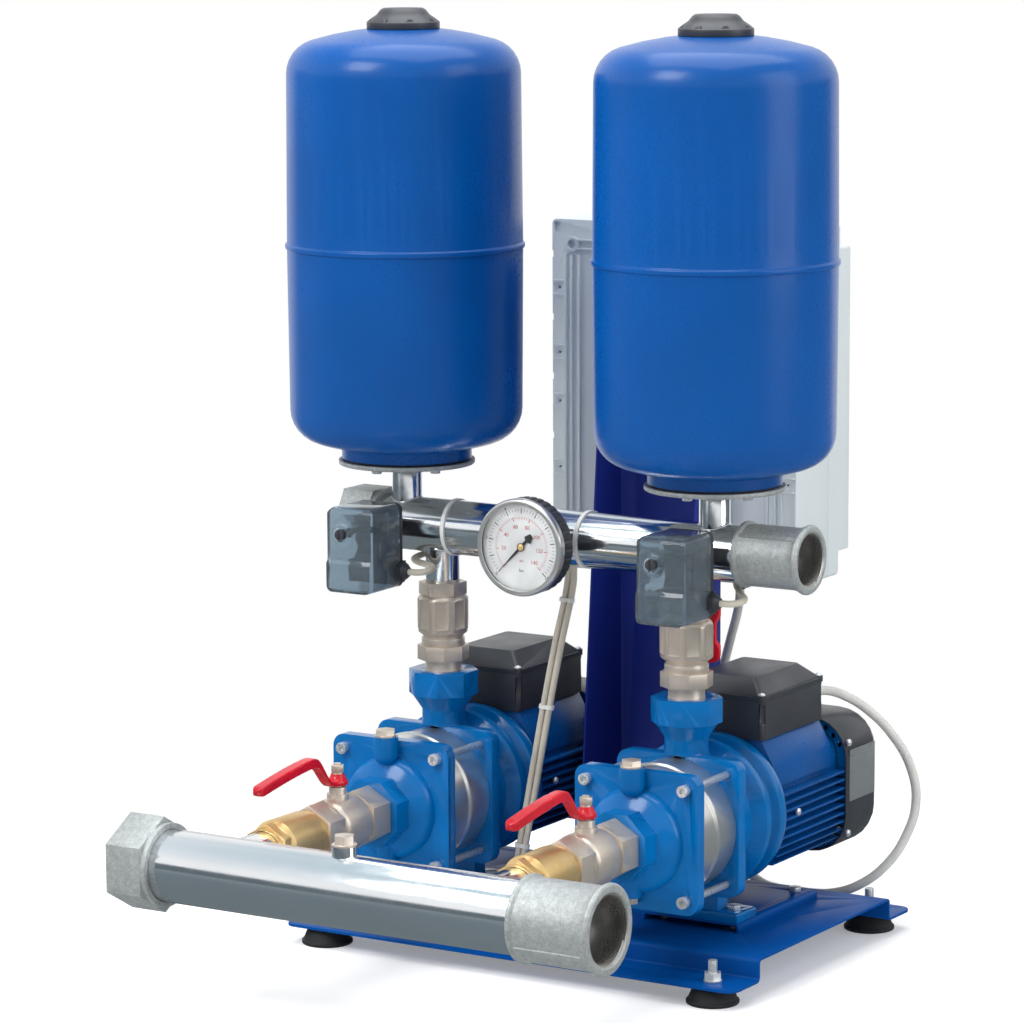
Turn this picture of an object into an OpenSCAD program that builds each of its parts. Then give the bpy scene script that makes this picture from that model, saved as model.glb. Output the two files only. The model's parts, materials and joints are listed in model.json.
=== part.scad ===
// Twin-pump water booster set: two horizontal pumps on a sheet base, suction and delivery manifolds,
// two membrane tanks, a gauge, two pressure switches and a control panel on a column.
// X runs along the manifolds, Y from the suction side to the panel, Z up from the floor.

/* [Base] */
// Length of the base along the manifolds
base_l = 570; // [520:5:680]
// Depth of the raised top of the base
base_top_d = 306; // [300:2:360]
// Distance from the delivery axis forward to the front of the raised top
base_front = 75; // [60:1:95]
// Width of each foot flange of the base
base_flange_w = 56; // [50:1:75]
// Rise from the foot flange to the raised top
base_rise = 26; // [20:1:45]
// Thickness of the base sheet
base_t = 3; // [2:0.5:4]
// Height of a rubber foot
foot_h = 20; // [15:1:35]
// Diameter of a rubber foot at the floor
foot_d = 57; // [48:1:64]
// Distance between the feet along the base
foot_spacing = 490; // [420:5:500]
// Height of the pump plinths above the base
plinth_h = 10; // [8:1:20]
// Width of a pump plinth
plinth_w = 120; // [110:1:140]
// Length of a pump plinth
plinth_l = 182; // [170:1:200]

/* [Pumps] */
// Distance between the two pump axes
pump_spacing = 310; // [280:5:340]
// Height of a pump axis above its plinth
pump_axis_h = 110; // [105:1:130]
// Side of the square flanges of the pump
flange_w = 150; // [145:1:160]
// Length of the stainless stage casing
stage_l = 75; // [69:3:90]
// Radius of the stage casing
stage_r = 72; // [69:0.5:74]
// Number of pump stages
stage_n = 3; // [2:1:3]
// Distance across the tie screws
tie_pitch = 120; // [116:1:124]
// Distance across the flats of the port octagons
port_af = 72; // [66:1:80]
// Length of the suction port in front of the cover flange
port_l = 43; // [38:1:55]
// Bore radius of the ports
port_r = 20.5; // [18:0.5:22]
// Height of the outlet above the pump axis
outlet_h = 135.5; // [130:0.5:150]
// Radius of the casing and bracket rims
rim_r = 85; // [82:1:90]

/* [Motors] */
// Length of the motor housing
motor_l = 162; // [150:1:180]
// Half width of the motor over its fins
motor_r = 75; // [73:0.5:78]
// Corner radius of the motor's rounded square section
motor_corner = 42; // [36:1:50]
// Half width of the housing wall under the fins
motor_wall_r = 63; // [61:0.5:65]
// Bore radius of the motor housing
motor_bore_r = 58; // [56:0.5:59]
// Pitch of the cooling fins
fin_pitch = 9.5; // [9:0.5:14]
// Length of the fan cover
fan_cover_l = 80; // [72:1:95]
// Width of the terminal box
box_w = 110; // [100:1:116]
// Length of the terminal box
box_l = 140; // [130:1:150]
// Height of the terminal box below its lid
box_h = 43; // [36:1:50]
// Height of the terminal lid
lid_h = 22; // [16:1:28]
// Height of the terminal box floor above the motor axis
box_floor = 79; // [78:0.5:84]

/* [Suction line] */
// Outer radius of the suction manifold
suction_r = 38.05; // [36:0.05:40]
// Wall of the manifolds
pipe_t = 3.2; // [2.5:0.1:4]
// Right end of the suction pipe from the middle
suction_right = 274; // [262:1:290]
// Left end of the suction pipe from the middle
suction_left = 238; // [225:1:255]
// Length of the suction socket
suction_socket_l = 93; // [88:1:105]
// Depth of a pipe in the suction socket
suction_seat = 43; // [36:1:48]
// Rim radius of the suction socket
suction_rim_r = 46.5; // [45:0.1:49]
// Wall radius of the threaded mouth of the suction socket
suction_mouth_r = 36.3; // [35:0.1:37]
// Circumradius of the suction hexagon cap
suction_cap_r = 51; // [49:0.5:56]
// Length of the suction hexagon cap
suction_cap_l = 49; // [44:1:58]
// Length of the stub between the manifold and the check valve
stub_l = 62; // [55:1:80]
// Outer radius of the stubs to the pumps
stub_r = 21.2; // [19:0.1:22]
// Length of the check valve
check_l = 84; // [78:1:95]
// Radius of the check valve barrel
check_r = 29; // [27.5:0.5:32]
// Length of the suction ball valve
valve_l = 116; // [110:1:130]
// Distance from the pump port to the suction valve stem
stem_back = 60; // [55:1:64]
// Radius of the suction valve ball
ball_r = 25; // [23:0.5:26]
// Flow radius through the suction line
flow_r = 17; // [14:0.5:17]
// Length of the suction lever from its stem to its tip
lever_l = 154; // [130:1:170]

/* [Delivery line] */
// Outer radius of the delivery manifold
delivery_r = 30.15; // [28:0.05:32]
// Right end of the delivery pipe from the middle
delivery_right = 264; // [255:1:275]
// Left end of the delivery pipe from the middle
delivery_left = 262; // [252:1:270]
// Length of the delivery socket
delivery_socket_l = 79; // [74:1:88]
// Depth of a pipe in the delivery socket
delivery_seat = 38; // [32:1:42]
// Rim radius of the delivery socket
delivery_rim_r = 37.2; // [36:0.1:39]
// Wall radius of the threaded mouth of the delivery socket
delivery_mouth_r = 28.6; // [27:0.1:29]
// Circumradius of the delivery hexagon cap
delivery_cap_r = 41; // [39.5:0.5:45]
// Length of the delivery hexagon cap
delivery_cap_l = 45; // [40:1:50]
// Height of the union tail that shows above the pump outlet
tail_h = 12; // [9:0.5:18]
// Height of the union nut
union_h = 16; // [13:0.5:20]
// Height of the delivery valve body above the union nut
riser_valve_h = 71; // [68:0.5:85]
// Radius of the delivery valve body
riser_valve_r = 27; // [26:0.5:30]
// Radius of the delivery stubs
riser_stub_r = 19; // [17:0.1:20]
// Height from the delivery valve to the manifold axis
riser_stub_h = 62; // [58:1:80]
// Turn of the left delivery valve about the riser, away from the front
left_valve_turn = 30; // [0:5:40]
// Distance from the delivery valve axis to its handle
handle_out = 42; // [41:1:50]

/* [Tanks] */
// Distance between the tank axes
tank_spacing = 390; // [375:5:420]
// Sideways shift of the pair of tanks from the middle
tank_shift = -6; // [-12:1:6]
// Radius of a tank at its seam
tank_r = 130; // [120:1:140]
// Radius of a tank near its ends
tank_end_r = 128.6; // [118:0.1:138]
// Height of a tank from its lower crown to its upper crown
tank_h = 470; // [430:5:520]
// Height of the seam above the lower crown
seam_h = 228; // [200:2:260]
// Radius of the knuckle of the tank ends
knuckle_r = 38; // [30:1:50]
// Crown radius of the tank ends
crown_r = 360; // [320:5:420]
// Radius of the tank neck
neck_r = 72; // [70:0.5:76]
// Radius of the counter flange
counter_r = 75.5; // [74:0.5:80]
// Height from the manifold axis to the counter flange
tank_riser_h = 67; // [60:1:85]
// Radius of the tank riser pipes
tank_riser_r = 16.85; // [14:0.05:18]
// Number of flange bolts on a tank
tank_bolt_n = 6; // [4:1:8]

/* [Gauge and switches] */
// Place of the gauge along the manifold
gauge_x = -3; // [-20:1:20]
// Distance from the manifold axis to the front of the gauge
gauge_out = 87; // [80:1:100]
// Radius of the gauge bezel
gauge_r = 53; // [48:0.5:60]
// Width of a pressure switch
switch_w = 57; // [52:1:66]
// Height of a pressure switch
switch_h = 93; // [86:1:105]
// Depth of a pressure switch cover
switch_d = 60; // [54:1:70]
// Distance from the manifold axis to the back of a switch cover
switch_back = 60; // [57:1:70]
// Height of the switch above the manifold axis
switch_up = 31; // [28:1:40]

/* [Control panel] */
// Distance from the delivery axis back to the panel
panel_y = 239; // [233:1:239]
// Width of the column
column_w = 133; // [120:1:140]
// Depth of the column sides at the base
column_d = 96; // [80:1:98]
// Depth of the column sides at the top
column_top_d = 36; // [25:1:50]
// Height of the column
column_h = 690; // [640:5:720]
// Width of the panel
panel_w = 316; // [300:2:330]
// Height of the panel
panel_h = 402; // [360:2:420]
// Depth of the panel body
panel_d = 81; // [75:1:95]
// Height of the panel above the base
panel_up = 336; // [330:2:360]
// Depth of the panel door
door_d = 25; // [20:1:32]
// Depth of the raised middle of the door
door_raise = 25; // [15:1:30]
// Height of the margin beside the raised middle of the door
door_margin = 28; // [20:1:40]

/* [Hidden] */
$fn = 64;

// Details that stay as they are
stud_d = 10;
plinth_bolt_w = 87;
plinth_bolt_l = 140;
bolt_d = 8;
flange_r = 14;
cover_t = 14;
stage_t = 1.5;
tie_d = 8;
shaft_r = 8.5;
fin_t = 2.6;
fan_cover_t = 1.6;
bearing_r = 20;
bearing_w = 12;
riser_ball_r = 19;
handle_reach = 36;
tank_t = 1.6;
counter_t = 5;
gauge_d = 30;
column_t = 2.5;
panel_t = 3;

// Running fit, push fit and the gap between seated parts
run_gap = 0.05;
fit_gap = 0.1;
seat_gap = 0.3;
// Overlap that keeps a cut clean
cut = 1;
// Segments of an outline arc and of a sheet bend
arc_n = 6;
bend_n = 4;

// Levels up the set
base_z = foot_h + base_rise;
plinth_z = base_z + plinth_h;
pump_z = plinth_z + pump_axis_h;
outlet_z = pump_z + outlet_h;
union_z = outlet_z + tail_h;
riser_valve_z = union_z + union_h;
riser_top_z = riser_valve_z + riser_valve_h;
delivery_z = riser_top_z + riser_stub_h;
riser_ball_z = riser_valve_z + 36;
counter_z = delivery_z + tank_riser_h;
gasket_t = 2.4;
neck_z = counter_z + counter_t + gasket_t;
crown_z = neck_z + 4;
tank_top_z = crown_z + tank_h;
seam_z = crown_z + seam_h;
cap_h = 20;
panel_z = base_z + panel_up;

// Stations along a pump, measured from its delivery axis
casing_y = -20;
cover_y = casing_y - stage_l;
flange_y = cover_y - cover_t;
port_y = flange_y - port_l;
valve_y = port_y - valve_l;
stem_y = port_y - stem_back;
check_y = valve_y - check_l;
suction_y = check_y - stub_l - suction_r;
rim_y = 36;
bracket_y = 70;
motor_end_y = bracket_y + motor_l;
fan_cover_y = motor_end_y - 6;
fan_end_y = fan_cover_y + fan_cover_l;

// Places along the set
sides = [-1, 1];
pump_xs = [for (s = sides) s * pump_spacing / 2];
tank_xs = [for (s = sides) tank_shift + s * tank_spacing / 2];
suction_end = suction_right - suction_seat + suction_socket_l;
seam_rib = 2;
suction_cap_seat = 35;
delivery_cap_seat = 35;
base_back = base_top_d - base_front;
foot_ys = [-base_front - base_flange_w / 2, base_back + base_flange_w / 2];
plinth_y = 8;
plinth_bolt_ys = [plinth_y + (plinth_l - plinth_bolt_l) / 2, plinth_y + (plinth_l + plinth_bolt_l) / 2];
door_gap = 0.5;
door_y = panel_y + panel_d + door_gap;
door_face_y = door_y + door_d + door_raise;
main_knob_h = 12;
main_grip_h = 12;
main_out = main_knob_h + main_grip_h;

// The origin stands on the floor under the middle of the set's outline
x_low = min(tank_xs[0] - tank_r - seam_rib, -base_l / 2,
  -suction_left - suction_cap_l + suction_cap_seat);
x_high = max(suction_end, tank_xs[1] + tank_r + seam_rib, base_l / 2);
y_low = suction_y - max(suction_rim_r, suction_cap_r * cos(30));
y_high = door_face_y + main_out;
set_origin = [-(x_low + x_high) / 2, -(y_low + y_high) / 2, 0];

// Colours of the finishes
tank_blue = [0.02, 0.25, 0.62];
pump_blue = [0.03, 0.28, 0.66];
motor_blue = [0.03, 0.12, 0.32];
black_plastic = [0.08, 0.08, 0.09];
zinc = [0.72, 0.73, 0.74];
galvanised = [0.55, 0.56, 0.57];
nickel = [0.70, 0.66, 0.58];
brass = [0.72, 0.53, 0.22];
lever_red = [0.80, 0.06, 0.09];
panel_grey = [0.80, 0.81, 0.79];

// Points on an arc of an outline
function arc(c, r, a0, a1, n = arc_n) =
  [for (i = [0:n]) let (a = a0 + (a1 - a0) * i / n) [c[0] + r * cos(a), c[1] + r * sin(a)]];

// A rectangle with round corners, about its middle
function round_rect(w, h, r) = concat(
  arc([w / 2 - r, h / 2 - r], r, 0, 90), arc([r - w / 2, h / 2 - r], r, 90, 180),
  arc([r - w / 2, r - h / 2], r, 180, 270), arc([w / 2 - r, r - h / 2], r, 270, 360));

// The outline of a bent sheet, from the points along its middle
function unit(v) = v / norm(v);
function left_of(v) = [-v[1], v[0]];
function spin(v, a) = [v[0] * cos(a) - v[1] * sin(a), v[0] * sin(a) + v[1] * cos(a)];
function turn(a, b) = atan2(a[0] * b[1] - a[1] * b[0], a[0] * b[0] + a[1] * b[1]);
function bend(p, d1, d2, t, r, side) =
  let (a = turn(d1, d2), s = sign(a), mid = r + t / 2)
  let (c = p - d1 * mid * tan(abs(a) / 2) + left_of(d1) * mid * s, rad = mid - s * side * t / 2)
  [for (k = [0:bend_n]) c - spin(left_of(d1), a * k / bend_n) * s * rad];
function sheet_side(p, t, r, side) = let (n = len(p) - 1) concat(
  [p[0] + left_of(unit(p[1] - p[0])) * side * t / 2],
  [for (i = [1:n - 1]) each bend(p[i], unit(p[i] - p[i - 1]), unit(p[i + 1] - p[i]), t, r, side)],
  [p[n] + left_of(unit(p[n] - p[n - 1])) * side * t / 2]);
function reversed(p) = [for (i = [len(p) - 1:-1:0]) p[i]];
function sheet(p, t, r) = concat(sheet_side(p, t, r, 1), reversed(sheet_side(p, t, r, -1)));

// Placing
module on_floor() {
  translate(set_origin) children();
}
module up(z) {
  translate([0, 0, z]) children();
}
module back(y) {
  translate([0, y, 0]) children();
}
module along_x() {
  rotate([0, 90, 0]) children();
}
module along_y() {
  rotate([-90, 0, 0]) children();
}
module extrude_x(x0, x1) {
  translate([x0, 0, 0]) rotate([90, 0, 90]) linear_extrude(x1 - x0) children();
}
module extrude_y(y0, y1) {
  back(y1) rotate([90, 0, 0]) linear_extrude(y1 - y0) children();
}
module at_pump(x) {
  on_floor() translate([x, 0, pump_z]) children();
}
module at_pumps() {
  for (x = pump_xs) at_pump(x) children();
}
module at_tanks(z) {
  for (x = tank_xs) on_floor() translate([x, 0, z]) children();
}

// Turned shapes
module lathe(points) {
  rotate_extrude() polygon(points);
}
module lathe_y(points) {
  along_y() lathe(points);
}
module rod_y(r, y0, y1, sides = 64) {
  back(y0) along_y() cylinder(r = r, h = y1 - y0, $fn = sides);
}
module rod_x(r, x0, x1, sides = 64) {
  translate([x0, 0, 0]) along_x() cylinder(r = r, h = x1 - x0, $fn = sides);
}
module rod_z(r, z0, z1, sides = 64) {
  up(z0) cylinder(r = r, h = z1 - z0, $fn = sides);
}
module hex(af, h) {
  cylinder(r = af / 2 / cos(30), h = h, $fn = 6);
}
module octagon(af, h) {
  rotate([0, 0, 22.5]) cylinder(r = af / 2 / cos(22.5), h = h, $fn = 8);
}
// A hexagon head bolt, pointing down from its head's seat
module bolt(d, grip) {
  hex(1.6 * d, 0.65 * d);
  up(-grip) cylinder(r = d / 2, h = grip);
}

// Base

module base_frame() {
  flange_z = foot_h + base_t / 2;
  top_z = base_z - base_t / 2;
  y0 = -base_front - base_flange_w;
  y1 = base_back + base_flange_w;
  half = base_t / 2;
  line = [[y0, flange_z], [-base_front + half, flange_z], [-base_front + half, top_z],
    [base_back - half, top_z], [base_back - half, flange_z], [y1, flange_z]];
  corner_r = 14;
  color(tank_blue) on_floor() difference() {
    intersection() {
      extrude_x(-base_l / 2, base_l / 2) polygon(sheet(line, base_t, base_t));
      back((y0 + y1) / 2) linear_extrude(base_z)
        polygon(round_rect(base_l, y1 - y0, corner_r));
    }
    for (x = sides, y = foot_ys) translate([x * foot_spacing / 2, y, 0])
      rod_z(stud_d / 2 + fit_gap, 0, base_z);
    base_bolts() rod_z(bolt_d / 2 + fit_gap, -base_rise, base_rise);
  }
}

// The bolts of the plinths and the column, at the top of the base
module base_bolts() {
  for (x = pump_xs, s = sides, y = plinth_bolt_ys)
    translate([x + s * plinth_bolt_w / 2, y, base_z]) children();
  column_bolts() children();
}
module column_bolts() {
  for (s = sides, y = [0.3, 0.75])
    translate([s * (column_w / 2 - 22), panel_y - column_d * y, base_z]) children();
}

module pump_plinths() {
  t = 3;
  w = plinth_w / 2 - t / 2;
  line = [[-w, base_z], [-w, plinth_z - t / 2], [w, plinth_z - t / 2], [w, base_z]];
  color(tank_blue) on_floor() difference() {
    for (x = pump_xs) translate([x, 0, 0]) extrude_y(plinth_y, plinth_y + plinth_l)
      polygon(sheet(line, t, t));
    base_bolts() rod_z(bolt_d / 2 + fit_gap, 0, 2 * plinth_h);
  }
}

module rubber_feet() {
  rim_h = foot_h * 0.2;
  top_r = foot_d * 0.36;
  color(black_plastic) on_floor() for (x = sides, y = foot_ys)
    translate([x * foot_spacing / 2, y, 0]) difference() {
      lathe([[0, 0], [foot_d / 2 - 1, 0], [foot_d / 2, 1], [foot_d / 2, rim_h],
        [foot_d / 2 - 2, rim_h + 1], [top_r, foot_h], [0, foot_h]]);
      rod_z(stud_d / 2 + fit_gap, foot_h / 2, foot_h + cut);
    }
}

module base_fasteners() {
  washer_t = 2;
  nut_h = stud_d * 0.8;
  seat = foot_h + base_t;
  color(zinc) on_floor() {
    for (x = sides, y = foot_ys) translate([x * foot_spacing / 2, y, 0]) {
      rod_z(stud_d / 2, foot_h / 2, base_z);
      difference() {
        union() {
          rod_z(stud_d, seat, seat + washer_t);
          up(seat + washer_t) hex(stud_d * 1.7, nut_h);
        }
        rod_z(stud_d / 2 + run_gap, 0, base_z);
      }
    }
    for (x = pump_xs, s = sides) translate([x + s * plinth_bolt_w / 2, 0, 0]) {
      translate([0, plinth_bolt_ys[0], plinth_z + pump_foot_t])
        bolt(bolt_d, pump_foot_t + plinth_h + base_t);
      translate([0, plinth_bolt_ys[1], plinth_z]) bolt(bolt_d, plinth_h + base_t);
    }
    column_bolts() up(column_foot_t) bolt(bolt_d, column_foot_t + base_t);
  }
}

// Pumps

pump_foot_t = 10;
plug_r = 14;
plug_y = flange_y - 9;
plug_h = 80;
plug_foot = 18;
drain_h = 60;

module suction_covers() {
  dome_r = 57;
  boss_y = flange_y - 12;
  color(pump_blue) at_pumps() difference() {
    union() {
      extrude_y(flange_y, cover_y) polygon(round_rect(flange_w, flange_w, flange_r));
      lathe_y(concat([[0, flange_y + cut], [dome_r, flange_y + cut]],
        arc([dome_r - 14, flange_y], 14, 0, -60, 4), [[port_af / 2, boss_y - 8], [0, boss_y - 8]]));
      back(port_y) along_y() octagon(port_af, boss_y - port_y);
      back(plug_y) rod_z(plug_r, plug_h - plug_foot, plug_h);
      translate([0, plug_y, plug_h - plug_foot]) sphere(r = plug_r);
      back(plug_y) rod_z(plug_r - 3, -drain_h, 0);
    }
    rod_y(port_r, port_y - cut, cover_y + cut);
    back(cover_y) along_y() up(-cover_t)
      cylinder(r1 = port_r, r2 = 45, h = cover_t + fit_gap);
    back(plug_y) rod_z(8, plug_h - 12, plug_h + cut);
    back(plug_y) rod_z(3, 10, plug_h);
    back(plug_y) rod_z(6, -drain_h - cut, -10);
    tie_points() rod_y(tie_d / 2 + fit_gap, flange_y - cut, cover_y + cut);
  }
}

module tie_points() {
  for (x = sides, z = sides) translate([x * tie_pitch / 2, 0, z * tie_pitch / 2]) children();
}

stage_in_r = stage_r - stage_t;
stage_pitch = stage_l / stage_n;

module stage_casings() {
  bead = 2.2;
  band = 4;
  y0 = cover_y;
  y1 = casing_y;
  mid = y0 + stage_l * 0.45;
  outer = [[stage_r, y0], [stage_r, mid - 2], [stage_r + bead, mid], [stage_r + bead, mid + band],
    [stage_r, mid + band + 2], [stage_r, y1]];
  color(zinc) at_pumps() {
    lathe_y(concat(outer, [[stage_in_r, y1], [stage_in_r, y0]]));
    // Diffuser plates with return vanes behind each impeller
    for (i = [0:stage_n - 1]) back(cover_y + (i + 1) * stage_pitch - 6) difference() {
      union() {
        rod_y(stage_in_r - run_gap, 0, 2);
        for (a = [0:45:315]) rotate([0, a, 0]) translate([28, 0, -1]) cube([stage_in_r - 34, 5.5, 2]);
      }
      rod_y(shaft_r + 6, -cut, 8);
    }
  }
}

// The neck under the outlet octagon
module outlet_neck() {
  top = outlet_h - 26;
  neck = 24;
  lathe(concat([[0, 40], [46, 40], [46, 58]], arc([46, 80], 22, 270, 180), [[neck, top - 18],
    [port_af / 2, top], [0, top]]));
  up(top - cut) octagon(port_af, 26 + cut);
}

module delivery_casings() {
  drum_r = 70;
  cavity_r = 64;
  wall_y = 14;
  foot_y1 = plinth_bolt_ys[0] + 22;
  leg_w = 64;
  color(pump_blue) at_pumps() difference() {
    union() {
      extrude_y(casing_y, casing_y + 16) polygon(round_rect(flange_w, flange_w, flange_r));
      lathe_y([[0, casing_y + 1], [flange_w / 2, casing_y + 15], [flange_w / 2, casing_y + 18],
        [drum_r, casing_y + 28],
        [drum_r, rim_y - 18], [rim_r, rim_y - 10], [rim_r, rim_y - 1], [rim_r - 1, rim_y], [0, rim_y]]);
      outlet_neck();
      up(plinth_z - pump_z) {
        extrude_y(plinth_y, foot_y1) polygon(round_rect(plinth_w - 4, 2 * pump_foot_t, 3));
        translate([-leg_w / 2, plinth_y + 4, 0]) cube([leg_w, rim_y - plinth_y - 6, pump_axis_h - 50]);
      }
    }
    up(plinth_z - pump_z - 4 * pump_foot_t)
      extrude_y(plinth_y - cut, foot_y1 + cut) polygon(round_rect(plinth_w + 20, 8 * pump_foot_t, 1));
    rod_y(flange_w / 2, cover_y, casing_y);
    rod_y(rim_r, rim_y, bracket_y);
    rod_y(cavity_r, casing_y - cut, wall_y);
    rod_y(seal_r + fit_gap, wall_y - cut, rim_y - 6);
    rod_y(shaft_r + 2, 0, rim_y + cut);
    rod_z(port_r, 0, outlet_h + cut);
    tie_points() rod_y(tie_d / 2 + fit_gap, casing_y - cut, casing_y + 12);
    for (s = sides) translate([s * plinth_bolt_w / 2, plinth_bolt_ys[0], 0])
      rod_z(bolt_d / 2 + fit_gap, plinth_z - pump_z - cut, plinth_z - pump_z + pump_foot_t + cut);
    // Head room of the foot bolts
    for (s = sides) translate([s * plinth_bolt_w / 2, plinth_bolt_ys[0], 0])
      rod_z(bolt_d * 1.1, plinth_z - pump_z + pump_foot_t, plinth_z - pump_z + pump_foot_t + 20);
  }
}

module tie_screws() {
  color(zinc) at_pumps() tie_points() difference() {
    union() {
      rod_y(tie_d * 0.8, flange_y - tie_d, flange_y);
      rod_y(tie_d / 2, flange_y - 1, casing_y + 11);
    }
    back(flange_y - tie_d) along_y() up(-cut)
      hex(tie_d * 0.75, tie_d / 2 + cut);
  }
}

module pipe_plugs() {
  test_z = suction_r + 9;
  color(nickel) {
    at_pumps() translate([0, plug_y, plug_h]) {
      cylinder(r = plug_r - 2, h = 2);
      hex(20, 8);
      rod_z(8 - fit_gap, -10, 0);
    }
    at_pumps() translate([0, plug_y, -drain_h]) rotate([180, 0, 0]) {
      hex(13, 7);
      rod_z(6 - fit_gap, -10, 0);
    }
    at_suction_test() {
      up(test_z) cylinder(r = 13, h = 2);
      up(test_z) hex(19, 11);
      rod_z(9 - fit_gap, test_z - 12, test_z);
    }
  }
}

// Motors

seal_r = 15;
bearing_ys = [bracket_y - 14, motor_end_y - 4];

module motor_brackets() {
  hub_r = bearing_r + 6;
  spigot = motor_bore_r - fit_gap;
  front = bearing_ys[0];
  color(pump_blue) at_pumps() {
    difference() {
      lathe_y([[shaft_r + 3, rim_y], [rim_r - 8, rim_y], [rim_r - 8, bracket_y - 18],
        [rim_r, bracket_y - 14],
        [rim_r, bracket_y], [spigot, bracket_y], [spigot, bracket_y + 5], [hub_r, bracket_y + 5],
        [hub_r, front + bearing_w], [bearing_r + fit_gap, front + bearing_w], [bearing_r + fit_gap,
          front],
        [shaft_r + 3, front]]);
      // Drain windows of the lantern
      for (a = [0, 180]) rotate([0, a, 0]) translate([0, rim_y + 3, 40]) rod_y(6, 0, 10);
    }
    lathe_y([[shaft_r + 3, motor_end_y + bearing_w - 2], [hub_r, motor_end_y + bearing_w - 2],
      [hub_r + 4, motor_end_y + 5],
      [motor_wall_r, motor_end_y + 5], [motor_wall_r, motor_end_y], [spigot, motor_end_y],
      [spigot, motor_end_y - 5], [bearing_r + fit_gap, motor_end_y - 5],
      [bearing_r + fit_gap, bearing_ys[1] + bearing_w], [shaft_r + 3, bearing_ys[1] + bearing_w]]);
    // Flange that holds the fan cover, with air holes in its corners
    back(motor_end_y) difference() {
      extrude_y(0, 3) polygon(motor_section(0));
      rod_y(motor_wall_r - 4, -cut, 4);
      for (a = [45:90:315], turn = [-9, 0, 9]) rotate([0, a + turn, 0])
        translate([motor_r + 5, 0, 0]) rod_y(3, -cut, 4, 16);
    }
  }
}

// The motor's section at an inset from its outline over the fins
function motor_section(inset) = round_rect(2 * (motor_r - inset), 2 * (motor_r - inset),
  motor_corner - inset);

module motor_housings() {
  shoulder_z = 28;
  shoulder_w = 2 * motor_r - 14;
  top_w = box_w - 8;
  lowest = -floor((motor_r - 10) / fin_pitch);
  highest = floor((shoulder_z - 4) / fin_pitch);
  color(motor_blue) at_pumps() difference() {
    union() {
      extrude_y(bracket_y, motor_end_y) polygon(motor_section(motor_r - motor_wall_r));
      intersection() {
        extrude_y(bracket_y + 3, motor_end_y) polygon(motor_section(0));
        for (i = [lowest:highest]) translate([-motor_r, bracket_y + 3, i * fin_pitch - fin_t / 2])
          cube([2 * motor_r, motor_l - 3, fin_t]);
      }
      // Shoulders that carry the terminal box
      extrude_y(bracket_y + 4, bracket_y + box_l - 2) polygon([[-shoulder_w / 2, shoulder_z],
        [-shoulder_w / 2 + 3, shoulder_z + 26], [-top_w / 2, box_floor], [top_w / 2, box_floor],
        [shoulder_w / 2 - 3, shoulder_z + 26], [shoulder_w / 2, shoulder_z]]);
    }
    rod_y(motor_bore_r, bracket_y - cut, motor_end_y + cut);
  }
}

module stators() {
  core_y = [bracket_y + 26, motor_end_y - 26];
  gap_r = 34;
  outer = motor_bore_r - run_gap;
  color(brass) at_pumps() lathe_y([[gap_r, core_y[0]], [gap_r + 4, core_y[0] - 14],
    [outer - 5, core_y[0] - 14],
    [outer - 3, core_y[0]], [outer, core_y[0]], [outer, core_y[1]], [outer - 3, core_y[1]],
    [outer - 5, core_y[1] + 14], [gap_r + 4, core_y[1] + 14], [gap_r, core_y[1]]]);
}

module shaft_bearings() {
  color(zinc) at_pumps() {
    for (y = bearing_ys) difference() {
      rod_y(bearing_r, y, y + bearing_w);
      rod_y(shaft_r + run_gap, y - cut, y + bearing_w + cut);
    }
    // The shaft seal in the back wall of the casing
    difference() {
      rod_y(seal_r, 14, 28);
      rod_y(shaft_r + run_gap, 13, 29);
    }
  }
}

fan_r = 58;
fan_y = bearing_ys[1] + bearing_w + 14;

// What turns in one pump: shaft, rotor core, impellers and fan
module rotor(x) {
  shaft_end = fan_y + 26;
  core_r = 33.5;
  imp_r = 55;
  at_pump(x) {
    color(zinc) difference() {
      rod_y(shaft_r, cover_y + 4, shaft_end);
      translate([shaft_r - 2, fan_y + 4, -3]) cube([4, 30, 6]);
    }
    color(galvanised) difference() {
      rod_y(core_r, bracket_y + 26, motor_end_y - 26);
      rod_y(shaft_r, bracket_y, motor_end_y);
    }
    for (i = [0:stage_n - 1]) color(nickel) back(cover_y + i * stage_pitch + 5)
      difference() {
      union() {
        rod_y(imp_r, 8.5, 10);
        lathe_y([[23, 0], [imp_r, 2], [imp_r, 3.5], [24, 1.5], [24, 2], [23, 2]]);
        rod_y(shaft_r + 4, 0, 10);
        for (a = [0:60:300]) rotate([0, a, 0]) translate([23, 1.2, -1]) rotate([0, 20, 0])
          cube([imp_r - 24, 8, 2]);
      }
      rod_y(shaft_r, -cut, 12);
    }
    color(black_plastic) back(fan_y) difference() {
      union() {
        rod_y(shaft_r + 5, 0, 22);
        rod_y(fan_r * 0.6, 0, 3);
        for (a = [0:45:315]) rotate([0, a, 0]) translate([10, 0, -1]) cube([fan_r - 10, 20, 2]);
      }
      rod_y(shaft_r, -cut, 24);
    }
  }
}
module rotor_left() rotor(pump_xs[0]);
module rotor_right() rotor(pump_xs[1]);

// The fan cover's solid at an inset from its outside
module fan_cover_form(inset) {
  grown = inset - seat_gap - fan_cover_t;
  end = fan_end_y - inset;
  hull() {
    extrude_y(fan_cover_y - inset, end - 14) polygon(motor_section(grown));
    extrude_y(end - 6, end - 5) polygon(motor_section(grown + 3));
    extrude_y(end - 1, end) polygon(motor_section(grown + 10));
  }
}

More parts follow.
